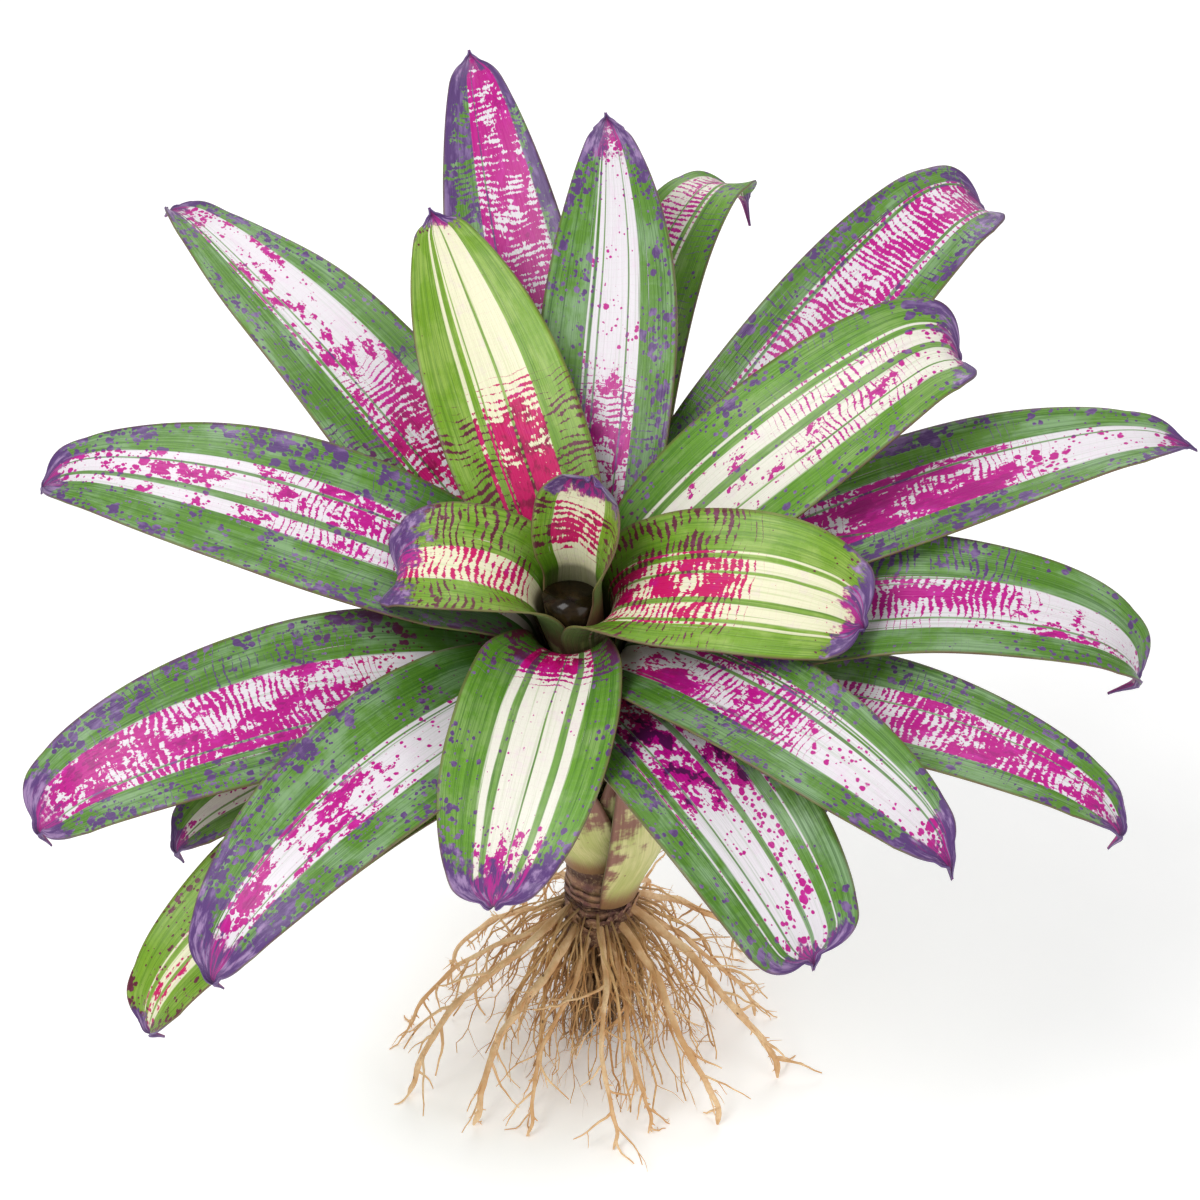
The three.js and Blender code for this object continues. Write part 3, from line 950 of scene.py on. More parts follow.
class Rib:
    """The midrib of a blade in its own upright plane, walked in equal steps."""

    STEPS = 160
    FINE = 240
    CURL_FROM = 0.8
    HOOK_FROM = 0.955

    def __init__(self, form: LeafForm, foot: Vector, throat: Vector, cup_z: float) -> None:
        """Lays the midrib.

        Args:
            form: the leaf's form.
            foot: radius and height of the sheath's foot.
            throat: radius and height where the blade starts.
            cup_z: the height that the tip's is measured from.
        """
        tip = Vector((form.reach, cup_z + form.rise))
        leave = throat + (throat - foot).normalized() * form.lift
        slope = math.radians(form.fall)
        arrive = tip - Vector((math.cos(slope), math.sin(slope))) * form.hang
        corners = [corner.to_3d() for corner in (throat, leave, arrive, tip)]
        walk = interpolate_bezier(*corners, self.FINE)
        parts = [b - a for a, b in zip(walk, walk[1:])]
        self.length = sum(part.length for part in parts)
        self.spans: list[tuple[float, float]] = []
        done = 0.0
        for part in parts:
            self.spans.append(((done + part.length / 2) / self.length, math.atan2(part.y, part.x)))
            done += part.length
        self.form = form
        self.places = [throat.copy()]
        for k in range(self.STEPS):
            angle = self.slope((k + 0.5) / self.STEPS)
            step = Vector((math.cos(angle), math.sin(angle))) * (self.length / self.STEPS)
            self.places.append(self.places[-1] + step)

    def slope(self, u: float) -> float:
        """The slope at a share of the length, in radians."""
        spans = self.spans
        k = min(max(int(u * len(spans)), 1), len(spans) - 1)
        while k < len(spans) - 1 and spans[k][0] < u:
            k += 1
        while k > 1 and spans[k - 1][0] > u:
            k -= 1
        (u0, a0), (u1, a1) = spans[k - 1], spans[k]
        angle = lerp(a0, a1, clamp((u - u0) / (u1 - u0)))
        angle -= math.radians(self.form.curl) * smooth(self.CURL_FROM, 1, u)
        return angle - math.radians(self.form.hook) * smooth(self.HOOK_FROM, 1, u)

    def end(self) -> float:
        """The share where the beak ends."""
        return 1 + self.form.beak / self.length

    def place(self, u: float) -> Vector:
        """Radius and height at a share of the length, which may lie past the tip."""
        k = min(int(u * self.STEPS), self.STEPS - 1)
        step = self.places[k + 1] - self.places[k]
        return self.places[k] + step * (u * self.STEPS - k)


@dataclass
class Rosette:
    """The leaves in their spiral, with the sizes that they share."""

    lean: Lean
    forms: Sequence[LeafForm]
    looks: Sequence[Variegation]
    stem_profile: Sequence[tuple[float, float]]
    cup_z: float = 284.0
    throat_step: float = 4.0
    throat_r: float = 14.0
    cup_leaves: int = 3
    cup_r_step: float = 1.9
    inner_leaves: int = 13
    inner_r_step: float = 0.7
    outer_r_step: float = 1.8
    foot_top_z: float = 240.0
    cup_foot_step: float = 8.0
    inner_foot_step: float = 4.4
    outer_foot_step: float = 10.6
    foot_gap: float = 1.3
    inner_wrap: float = 58.0
    outer_wrap: float = 120.0
    belly: float = 8.0
    belly_share: float = 0.4
    belly_z: tuple[float, float] = (225, 120)
    thick: float = 0.9
    cup_roll: float = 52.0
    beak_roll: float = 125.0
    throat_share: float = 0.8
    spur_share: float = 0.03
    beak_half: float = 8.0
    beak_end: float = 0.5
    beak_flare: float = 1.5
    beak_from: float = 0.945
    round_share: float = 0.06
    swell_from: float = 0.86
    swell_by: float = 0.4
    widen_by: float = 0.2
    columns: int = 24
    sheath_rows: int = 16
    blade_rows: int = 78
    tip_rows: int = 34
    tip_from: float = 0.88
    seed_step: float = 17.3
    wave_step: float = 19.0
    wave_shift: float = 1.3
    wave_phase: float = 2.1

    def stem_radius(self, z: float) -> float:
        """The stem's radius at a height of the straight plant."""
        for (r0, z0), (r1, z1) in zip(self.stem_profile, self.stem_profile[1:]):
            if z <= z1:
                return lerp(r0, r1, (z - z0) / (z1 - z0))
        return self.stem_profile[-1][0]

    def plan(self, rank: int) -> tuple[Vector, Vector, float]:
        """Where a leaf starts on the stem and where it bends out of the cup.

        Args:
            rank: 0 for the innermost leaf.

        Returns:
            Radius and height of its foot, the same of its throat, and half its wrap in radians.
        """
        form = self.forms[rank]
        outer = max(0, rank - self.inner_leaves)
        cup = min(rank, self.cup_leaves)
        inner = rank - outer - cup
        foot_z = self.foot_top_z - self.cup_foot_step * cup
        foot_z -= self.inner_foot_step * inner + self.outer_foot_step * outer
        foot = Vector((self.stem_radius(foot_z) + self.foot_gap, foot_z))
        throat_r = self.throat_r + self.cup_r_step * cup
        throat_r += self.inner_r_step * inner + self.outer_r_step * outer
        throat = Vector((throat_r, self.cup_z - self.throat_step * rank + form.tube))
        usual = self.outer_wrap if outer else self.inner_wrap
        return foot, throat, math.radians(form.wrap or usual)

    def width_share(self, form: LeafForm, u: float, end: float) -> float:
        """The share of the full width at u: a blunt round end that runs out into a curled beak.

        Args:
            form: the leaf's form.
            u: the share along the blade.
            end: the share where its beak ends.

        Returns:
            The width as a share of the full width.
        """
        body = clamp(u / (1 - self.spur_share))
        swell = lerp(self.swell_from, 1, smooth(0, self.swell_by, body))
        past = clamp((body - form.full) / (1 - form.full))
        taper = lerp(form.blunt, 1, (1 - past * past) ** form.point)
        cap = clamp((body - 1) / self.round_share + 1)
        left = 1 - clamp((u - self.beak_from) / (end - self.beak_from))
        beak = lerp(self.beak_end, self.beak_half, left**self.beak_flare)
        return max(swell * taper * math.sqrt(1 - cap * cap), 2 * beak / form.wide)

    def section(self, form: LeafForm, u: float, half: float, curve: float) -> float:
        """The curvature of a section: the end is cupped, and the spur is rolled into a thorn.

        Args:
            form: the leaf's form; not used.
            u: the share along the blade.
            half: half of the width there.
            curve: the curvature of the open blade.

        Returns:
            The curvature.
        """
        cupped = math.radians(self.cup_roll) * smooth(0.84, 0.97, u)
        rolled = math.radians(self.beak_roll) * smooth(0.96, 0.985, u)
        return max(curve * half, cupped, rolled) / half

    def row(self, form: LeafForm, at: Station, slope: float, throat: Vector) -> LeafRow:
        """Turns a station of the midrib into a cross-section in its place on the leaning plant.

        Args:
            form: the leaf's form.
            at: the station.
            slope: the midrib's slope there, in radians.
            throat: radius and height where the blade starts.

        Returns:
            The section.
        """
        heading = form.az + form.sweep * at.u * at.u
        side = polar(1, heading + 90)
        way = polar(math.cos(slope), heading, math.sin(slope))
        roll = math.radians(form.lean * smooth(0.05, 0.5, at.u) + form.twist * at.u**3)
        turn = Matrix.Rotation(roll, 3, way)
        up = turn @ way.cross(side)
        side = turn @ side
        open_curve = math.radians(form.channel) / (form.wide / 2)
        curve = lerp(1 / at.place.x, open_curve, smooth(0, form.opening, at.along))
        if at.u > 0:
            curve = self.section(form, at.u, at.half, curve)
        carry = self.lean.carry(throat.y if at.u > 0 else at.place.y)
        turned = carry.to_3x3()
        point = carry @ polar(at.place.x, heading, at.place.y)
        return LeafRow(point, turned @ side, turned @ up, curve, at)

    def rows(self, rank: int) -> tuple[list[LeafRow], float]:
        """The sections of a leaf from its foot on the stem to its spur.

        Args:
            rank: 0 for the innermost leaf.

        Returns:
            The sections, and the blade's length.
        """
        form = self.forms[rank]
        foot, throat, wrap = self.plan(rank)
        rib = Rib(form, foot, throat, self.cup_z)
        half = form.wide / 2
        throat_half = min(half * self.throat_share, wrap * throat.x)
        length = (throat - foot).length
        found: list[Station] = []
        for i in range(self.sheath_rows):
            k = i / self.sheath_rows
            place = foot.lerp(throat, k)
            if rank > self.inner_leaves:
                place.x += self.belly * smooth(0, self.belly_share, k) * smooth(*self.belly_z, place.y)
            width = place.x * lerp(wrap, throat_half / throat.x, k)
            found.append(Station(place, 0.0, width, (k - 1) * length, k))
        for u in self.stations(rib.end()):
            share = self.width_share(form, u, rib.end())
            width = lerp(throat_half, half * share, smooth(0, self.widen_by, u))
            found.append(Station(rib.place(u), u, width, u * rib.length, 1.0))
        return [self.row(form, at, rib.slope(at.u), throat) for at in found], rib.length

    def stations(self, last: float) -> list[float]:
        """Shares of the blade's length where it has a section, closer together near the tip."""
        body = [self.tip_from * i / self.blade_rows for i in range(self.blade_rows)]
        end = [lerp(self.tip_from, last, i / self.tip_rows) for i in range(self.tip_rows + 1)]
        return body + end

    def sheet(self, rank: int) -> tuple[bmesh.types.BMesh, float]:
        """The leaf's surface, from a grid that is bent to its sections, with its UV maps.

        Args:
            rank: 0 for the innermost leaf.

        Returns:
            The surface, and the blade's length.
        """
        form = self.forms[rank]
        rows, length = self.rows(rank)
        shape = bmesh.new()
        last = len(rows) - 1
        bmesh.ops.create_grid(shape, x_segments=self.columns, y_segments=last, size=1)
        blade = shape.loops.layers.uv.new("Blade")
        share = shape.loops.layers.uv.new("Share")
        base = shape.loops.layers.uv.new("Foot")
        phase = rank * self.wave_phase
        place_of = {}
        for vert in shape.verts:
            t = -vert.co.x
            row = rows[round((vert.co.y + 1) / 2 * last)]
            at = row.at
            swing = math.sin(phase + at.along / self.wave_step + (self.wave_shift if t > 0 else 0))
            wave = form.wave * swing * smooth(20, 90, at.along) * smooth(1.01, 0.9, at.u)
            place_of[vert] = (t, at)
            vert.co = row.spot(t, wave)
        for face in shape.faces:
            for loop in face.loops:
                t, at = place_of[loop.vert]
                loop[blade].uv = (t * at.half / UV_UNIT, at.along / UV_UNIT)
                loop[share].uv = ((t + 1) / 2, at.u)
                loop[base].uv = ((t + 1) / 2, at.foot)
        return shape, length

    def build(self) -> None:
        """Makes every leaf and fixes it in place of its solid."""
        rim = RimFinish().build()
        for rank, look in enumerate(self.looks):
            shape, length = self.sheet(rank)
            seed = self.seed_step * (rank + 1)
            name = f"strap_leaf_{rank + 1:02d}"
            upper = LeafFinish(name + "_upper", look, seed, length, False).build()
            under = LeafFinish(name + "_under", look, seed, length, True).build()
            piece = Workshop.piece(name, shape, (upper, under, rim))
            body = piece.modifiers.new("thickness", "SOLIDIFY")
            body.thickness = self.thick * MM
            body.offset = 0
            body.material_offset = 1
            body.material_offset_rim = 2
            Workshop.fix(piece, "leaf", f"leaf_{rank + 1:02d}")


# ---------------------------------------------------------------- stem, water and roots


@dataclass
class Stem:
    """The scaly knob and its slender shaft."""

    lean: Lean
    profile: Sequence[tuple[float, float]]
    sides: int = 48
    ring: float = 2.5
    lump: float = 1.6
    lumps_z: tuple[float, float] = (110, 88)
    shrink: float = 0.5
    rough_from: float = 63.0
    scales: int = 26
    scale_long: float = 15.0
    scale_wide: float = 15.0
    scale_thick: float = 0.5
    scale_r: float = 17.0
    scale_z: tuple[float, float] = (62, 74)
    seed: int = 5150

    def rings(self) -> list[tuple[float, float]]:
        """Radius and height of each ring, close together."""
        found = [self.profile[0]]
        for r, z in self.profile[1:]:
            r0, z0 = found[-1]
            parts = max(1, math.ceil((z - z0) / self.ring))
            found += [(lerp(r0, r, i / parts), lerp(z0, z, i / parts)) for i in range(1, parts + 1)]
        return found

    def scale(self, shape: bmesh.types.BMesh, heading: float, z: float, draw: Draw) -> None:
        """Adds one papery scale, the torn foot of an old leaf, as a grid bent round the knob.

        Args:
            shape: what it is added to.
            heading: where it stands.
            z: the height of its foot.
            draw: the source of its tears.
        """
        sheet = bmesh.new()
        bmesh.ops.create_grid(sheet, x_segments=8, y_segments=6, size=0.5)
        long = self.scale_long * draw.between(0.6, 1.1)
        wide = self.scale_wide * draw.between(0.8, 1.4)
        flare = draw.between(0.5, 3.0)
        phase = draw.between(0, 50)
        for vert in sheet.verts:
            across, up = vert.co.x, vert.co.y + 0.5
            tear = noise.noise(Vector((across * 5, phase, 0))) * 0.35 - abs(across) * 0.9
            up *= 1 + tear
            narrow = 1 - 0.45 * up
            ripple = noise.noise(Vector((across * 4, up * 2, phase))) * 1.1
            radius = self.scale_r + flare * up * up + ripple * up
            angle = heading + math.degrees(across * wide * narrow / radius)
            vert.co = polar(radius, angle, z + up * long)
        whole = sheet.verts[:] + sheet.edges[:] + sheet.faces[:]
        bmesh.ops.solidify(sheet, geom=whole, thickness=self.scale_thick)
        mesh = bpy.data.meshes.new("scale")
        sheet.to_mesh(mesh)
        sheet.free()
        shape.from_mesh(mesh)
        bpy.data.meshes.remove(mesh)

    def shaft(self, shape: bmesh.types.BMesh) -> dict[bmesh.types.BMVert, float]:
        """Adds a circle that is extruded up the axis, ring by ring.

        Args:
            shape: what it is added to.

        Returns:
            The height of each vertex on the straight plant.
        """
        rings = self.rings()
        radius, level = rings[0]
        made = bmesh.ops.create_circle(shape, cap_ends=True, segments=self.sides, radius=radius)
        bmesh.ops.translate(shape, vec=(0, 0, level), verts=made["verts"])
        bmesh.ops.reverse_faces(shape, faces=shape.faces)
        face = shape.faces[:][0]
        bottom = face
        heights = {vert: level for vert in shape.verts}
        for (r0, z0), (r, z) in zip(rings, rings[1:]):
            grown = bmesh.ops.extrude_face_region(shape, geom=[face], use_keep_orig=(face is bottom))
            verts = [item for item in grown["geom"] if isinstance(item, bmesh.types.BMVert)]
            face = next(item for item in grown["geom"] if isinstance(item, bmesh.types.BMFace))
            bmesh.ops.scale(shape, vec=(r / r0, r / r0, 1), verts=verts)
            bmesh.ops.translate(shape, vec=(0, 0, z - z0), verts=verts)
            heights |= {vert: z for vert in verts}
        return heights

    def build(self) -> None:
        """Makes the stem, with its lumps and its scales."""
        shape = bmesh.new()
        for vert, z in self.shaft(shape).items():
            if z > self.rough_from:
                out = Vector((vert.co.x, vert.co.y, 0)).normalized()
                rough = noise.noise(vert.co / 7) + 0.5 * noise.noise(vert.co / 3)
                vert.co += out * (rough * self.lump * smooth(*self.lumps_z, z) - self.shrink)
            vert.co = self.lean.carry(z) @ vert.co
        draw = Draw(self.seed)
        for i in range(self.scales):
            self.scale(shape, GOLDEN_ANGLE * i, draw.between(*self.scale_z), draw)
        bmesh.ops.recalc_face_normals(shape, faces=shape.faces)
        piece = Workshop.piece("scaly_stem", shape, (KnobFinish().build(),))
        Workshop.fix(piece, "stem", "stem")


@dataclass
class CupWater:
    """The water that the innermost leaf holds."""

    lean: Lean
    foot: tuple[float, float] = (8.8, 246.5)
    top: tuple[float, float] = (12.4, 287.0)
    sides: int = 48

    def build(self) -> None:
        """Makes the water as a circle extruded up to a level surface."""
        shape = bmesh.new()
        foot_r, foot_z = self.foot
        top_r, top_z = self.top
        bmesh.ops.create_circle(shape, cap_ends=True, segments=self.sides, radius=foot_r)
        bmesh.ops.translate(shape, vec=(0, 0, foot_z), verts=shape.verts)
        bmesh.ops.transform(shape, matrix=self.lean.carry(foot_z), verts=shape.verts)
        grown = bmesh.ops.extrude_face_region(shape, geom=shape.faces[:], use_keep_orig=True)
        upper = [item for item in grown["geom"] if isinstance(item, bmesh.types.BMVert)]
        back = self.lean.carry(foot_z).inverted()
        bmesh.ops.transform(shape, matrix=back, verts=upper)
        bmesh.ops.scale(shape, vec=(top_r / foot_r, top_r / foot_r, 0), verts=upper)
        centre = self.lean.carry(top_z) @ Vector((0, 0, top_z))
        bmesh.ops.translate(shape, vec=centre, verts=upper)
        bmesh.ops.recalc_face_normals(shape, faces=shape.faces)
        piece = Workshop.piece("cup_pool", shape, (WaterFinish().build(),))
        Workshop.fix(piece, "water", "cup_water")


@dataclass(frozen=True)
class RootForm:
    """A main root: headings on the knob and on the surface, where it starts and how far it goes."""

    start: float
    end: float
    high: float
    reach: float
    r: float


Strand = list[tuple[Vector, float]]


class Strands:
    """Tapering round strands, gathered into one mesh."""

    def __init__(self, fineness: int) -> None:
        """Starts with no strands; fineness is the resolution of their round section."""
        self.curve = bpy.data.curves.new("strands", "CURVE")
        self.curve.dimensions = "3D"
        self.curve.bevel_depth = MM
        self.curve.bevel_resolution = fineness
        self.curve.use_fill_caps = True

    def add(self, strand: Strand) -> None:
        """Adds a strand, given as places and radii."""
        spline = self.curve.splines.new("POLY")
        spline.points.add(len(strand) - 1)
        for knot, (place, radius) in zip(spline.points, strand):
            knot.co = (*(place * MM), 1)
            knot.radius = radius

    def mesh(self, name: str) -> bpy.types.Mesh:
        """The strands as one mesh.

        Args:
            name: the mesh's name.

        Returns:
            The mesh.
        """
        holder = put(name, self.curve)
        bpy.context.view_layer.update()
        finished = holder.evaluated_get(bpy.context.evaluated_depsgraph_get())
        mesh = bpy.data.meshes.new_from_object(finished)
        bpy.data.objects.remove(holder)
        bpy.data.curves.remove(self.curve)
        return mesh


def bezier(a: Vector, b: Vector, c: Vector, d: Vector, t: float) -> Vector:
    """A point of the cubic curve with those corners."""
    s = 1 - t
    return a * s**3 + b * (3 * s * s * t) + c * (3 * s * t * t) + d * t**3


@dataclass
class RootSystem:
    """The main roots with their rootlets, and the mat of fine roots between them."""

    forms: Sequence[RootForm]
    start_r: float = 9.0
    thick_share: float = 1.05
    end_share: float = 0.6
    wave: float = 3.0
    drop: float = 14.0
    steps: int = 52
    rootlets: int = 9
    stubs: int = 14
    fine: int = 300
    fine_parts: int = 12
    fine_spread: float = 70.0
    fine_top: float = 90.0
    fine_stray: float = 4.5
    fine_rootlets: int = 3
    fine_scale: float = 0.3
    rootlet_scale: float = 0.75
    wander: float = 0.55
    droop: float = 0.62
    clear: float = 0.1
    main_seed: int = 97
    fine_seed: int = 90210
    noise_seed: int = 7

    def path(self, form: RootForm, draw: Draw) -> Strand:
        """A main root from inside the knob to where it lies on the surface.

        Args:
            form: the root's form.
            draw: the source of its wave.

        Returns:
            Its places and radii.
        """
        corners = (
            polar(self.start_r, form.start, form.high),
            polar(lerp(self.start_r, form.reach, 0.36), form.start, form.high - self.drop),
            polar(form.reach * 0.97, form.end, form.high * 0.4),
            polar(form.reach, form.end, 0),
        )
        phase = 2 * math.pi * draw()
        side = polar(self.wave, form.end + 90)
        strand: Strand = []
        for k in range(self.steps + 1):
            t = k / self.steps
            swing = math.sin(phase + 8 * t) * smooth(0, 0.4, t) * smooth(1, 0.85, t)
            radius = form.r * lerp(self.thick_share, self.end_share, t**0.7)
            knots = 0.5 + 0.5 * math.sin(phase + t * form.reach / 2.3)
            radius *= 1 + 0.2 * knots**6 + 0.12 * noise.noise(Vector((t * 9, phase, 0)))
            radius *= lerp(1, 0.45, smooth(0.94, 1, t))
            place = bezier(*corners, t) + side * swing
            stray = Vector(noise.noise_vector(Vector((t * 8, phase * 3, 1)))) * 1.5
            place += stray * smooth(0, 0.3, t)
            place.z = max(place.z, radius + 0.3)
            strand.append((place, radius))
        return strand

    def shoot(
        self,
        start: Vector,
        way: Vector,
        length: float,
        radius: float,
        draw: Draw,
        parts: int,
    ) -> Strand:
        """A rootlet that wanders and droops.

        Args:
            start: where it leaves its root.
            way: its first direction.
            length: its length.
            radius: its radius at the start.
            draw: the source of its turns.
            parts: how many stretches it has.

        Returns:
            Its places and radii.
        """
        strand: Strand = [(start, radius)]
        place = start.copy()
        way = way.normalized()
        for k in range(parts):
            way = (way + draw.stray(self.droop) * self.wander).normalized()
            place = place + way * (length / parts)
            thin = radius * lerp(1, 0.4, (k + 1) / parts)
            place.z = max(place.z, thin + self.clear)
            strand.append((place.copy(), thin))
        return strand

    def sprout(self, trunk: Strand, share: float, draw: Draw) -> tuple[Vector, float, Vector, Vector]:
        """Where a rootlet leaves a trunk.

        Args:
            trunk: the root that it grows from.
            share: how far along the root it is.
            draw: the source of the side that it leaves to.

        Returns:
            The place, the trunk's radius there, the way ahead along the trunk, and the way out.
        """
        k = int(share * (len(trunk) - 1))
        place, thick = trunk[k]
        ahead = (trunk[min(k + 1, len(trunk) - 1)][0] - trunk[k - 1][0]).normalized()
        return place, thick, ahead, ahead.cross(draw.stray()).normalized()

    def branch(self, strands: Strands, trunk: Strand, count: int, scale: float, draw: Draw) -> None:
        """Adds rootlets along a trunk, some of them forked.

        Args:
            strands: what they are added to.
            trunk: the root that they grow from.
            count: how many there are.
            scale: their radius and, with it, their length.
            draw: the source of their places.
        """
        for i in range(count):
            share = lerp(0.3, 0.97, (i + draw()) / count)
            place, thick, ahead, side = self.sprout(trunk, share, draw)
            way = ahead * draw.between(0.5, 1.1) + side
            radius = min(scale * draw.between(0.6, 1.3), thick * 0.7)
            shoot = self.shoot(place, way, draw.between(12, 30) * scale**0.5 * 1.3, radius, draw, 6)
            strands.add(shoot)
            for _ in range(int(draw() * 2.6)):
                fork, fork_r = shoot[2 + int(draw() * 3)]
                turn = way + draw.stray(0.6) * 2
                strands.add(self.shoot(fork, turn, draw.between(5, 12), fork_r * 0.7, draw, 4))

    def stud(self, strands: Strands, trunk: Strand, draw: Draw) -> None:
        """Adds the short broken ends of rootlets along a root.

        Args:
            strands: what they are added to.
            trunk: the root that they stand on.
            draw: the source of their places.
        """
        for _ in range(self.stubs):
            place, thick, ahead, side = self.sprout(trunk, draw.between(0.15, 0.98), draw)
            long = thick + draw.between(0.5, 2.6)
            strands.add(self.shoot(place, side + ahead * 0.5, long, draw.between(0.4, 0.7), draw, 2))

    def build_main(self, finish: bpy.types.Material) -> None:
        """Makes each main root with its rootlets.

        Args:
            finish: the bark.
        """
        for i, form in enumerate(self.forms):
            draw = Draw(self.main_seed * (i + 1) + 11)
            strands = Strands(2)
            trunk = self.path(form, draw)
            strands.add(trunk)
            self.branch(strands, trunk, self.rootlets, self.rootlet_scale, draw)
            self.stud(strands, trunk, draw)
            name = f"main_root_{i + 1:02d}"
            piece = Workshop.shown(name, strands.mesh(name), (finish,))
            Workshop.fix(piece, "root", f"root_{i + 1:02d}")

    def fine_path(self, i: int, draw: Draw) -> Strand:
        """A fine root from inside the knob outwards and down, some of the way or to the surface.

        Args:
            i: its number.
            draw: the source of its course.

        Returns:
            Its places and radii.
        """
        heading = 360 * (i * GOLDEN_SHARE + 0.1 * draw())
        reach = 6 + self.fine_spread * draw() ** 2
        high = draw.between(63, 86)
        begin = polar(draw.between(6, 15), heading, high)
        end_z = 0.6 if draw() < 0.5 else draw.between(1, 22)
        turn = draw.between(-24, 24)
        corners = (
            begin,
            polar(lerp(10, reach, 0.55), heading + turn * 0.2, high - draw.between(2, 18)),
            polar(reach * draw.between(0.8, 1.1), heading + turn, end_z + draw.between(8, 34)),
            polar(reach, heading + turn, end_z),
        )
        radius = draw.between(0.38, 0.95)
        trunk: Strand = []
        for k in range(self.fine_parts + 1):
            t = k / self.fine_parts
            stray = Vector(noise.noise_vector(Vector((t * 5, i * 3.1, 4)))) * self.fine_stray
            place = bezier(*corners, t) + stray * smooth(0, 0.3, t)
            thin = radius * lerp(1, 0.5, t) * (1 + 0.25 * noise.noise(Vector((t * 11, i, 2))))
            place.z = clamp(place.z, thin + self.clear, self.fine_top)
            trunk.append((place, thin))
        return trunk

    def build_fine(self, finish: bpy.types.Material) -> None:
        """Makes the mat of fine roots below the knob.

        Args:
            finish: their bark.
        """
        draw = Draw(self.fine_seed)
        strands = Strands(1)
        for i in range(self.fine):
            trunk = self.fine_path(i, draw)
            strands.add(trunk)
            self.branch(strands, trunk, self.fine_rootlets, self.fine_scale, draw)
        piece = Workshop.shown("fine_root_mat", strands.mesh("fine_root_mat"), (finish,))
        Workshop.fix(piece, "fine_root", "fine_roots")

    def build(self) -> None:
        """Makes all the roots."""
        noise.seed_set(self.noise_seed)
        self.build_main(RootFinish("root_bark", *ROOT_BARK, 0.012).build())
        self.build_fine(RootFinish("fine_root_bark", *FINE_ROOT_BARK, 0.034).build())


# ---------------------------------------------------------------- the plant's own numbers


STEM_PROFILE = ((8, 62), (14, 66), (18, 74), (17.5, 84), (17, 92), (16, 150), (9, 240), (6, 244))

LEAF_FORMS = (
    LeafForm(50, 28, 57, 24, 56, fall=95, hang=20, curl=0, full=0.6, point=0.5, wrap=172, tube=6,
             channel=62, opening=40, hook=-20, beak=3, wave=0),
    LeafForm(175, 80, 22, 28, 61, fall=-40, hang=25, curl=70, full=0.6, point=0.5, blunt=0.4, wrap=95,
             wave=0.4),
    LeafForm(342, 138, 22, 32, 72, fall=-25, hang=50, lean=8, full=0.6, point=0.5, blunt=0.3, wrap=90,
             beak=3, wave=0.4),
    LeafForm(107, 178, 84, 42, 66, fall=20, hang=60, hook=0, beak=5),
    LeafForm(258, 148, -26, 28, 72, fall=-48, hang=50, lean=-6, sweep=-4, full=0.5, point=0.75,
             blunt=0.3),
    LeafForm(22, 204, 74, 26, 70, fall=0, hang=60, curl=80, lean=12, point=0.6, blunt=0.45),
    LeafForm(164, 254, 38, 30, 73, fall=-22, lean=-12, full=0.4, hook=10, beak=1.5),
    LeafForm(316, 220, 0, 24, 58, fall=-30, point=0.8, hook=20, beak=7),
    LeafForm(76, 232, 80, 45, 66, fall=12, sweep=7, blunt=0.18, hook=0, beak=5),
    LeafForm(226, 236, -24, 20, 70, fall=-45, lean=-12, full=0.35, point=0.9, hook=30, beak=7),
    LeafForm(9, 287.4, 25, 36, 64, fall=-15, hook=0, beak=0),
    LeafForm(131, 285, 68, 60, 70, fall=-8, twist=20, full=0.35, blunt=0.2, hook=10, wave=2),
    LeafForm(299, 202, -38, 22, 72, fall=-50, point=0.5, blunt=0.45, hook=10, beak=4, wrap=90),
    LeafForm(42, 282, 58, 34, 66, fall=-10, curl=60, lean=12, point=0.6, blunt=0.45),
    LeafForm(201, 262, -12, 42, 74, fall=-30, lean=-18, full=0.4, point=0.9, blunt=0.4, beak=8),
    LeafForm(350, 258, -36, 57, 64, fall=-70, hang=100, lean=8, point=0.9, beak=9, wave=2),
    LeafForm(98, 268.3, 104, 50, 66, fall=20, full=0.4, hook=0, beak=1),
    LeafForm(205, 208, -48, 25, 56, fall=-25, point=0.8, wrap=85),
    LeafForm(331, 268, -28, 38, 58, fall=-40, full=0.4, point=0.9, beak=9, wrap=85),
    LeafForm(218, 260, -92, 30, 62, fall=-50, point=0.8, blunt=0.3, wrap=85),
    LeafForm(82, 262, 42, 34, 56, fall=-15, curl=70, sweep=-13, blunt=0.45, wrap=105),
    LeafForm(317, 140, -58, 22, 56, fall=-20, point=0.6, blunt=0.3, wrap=48),
)

FRESH, MID, RIPE = Tone.FRESH, Tone.MID, Tone.RIPE

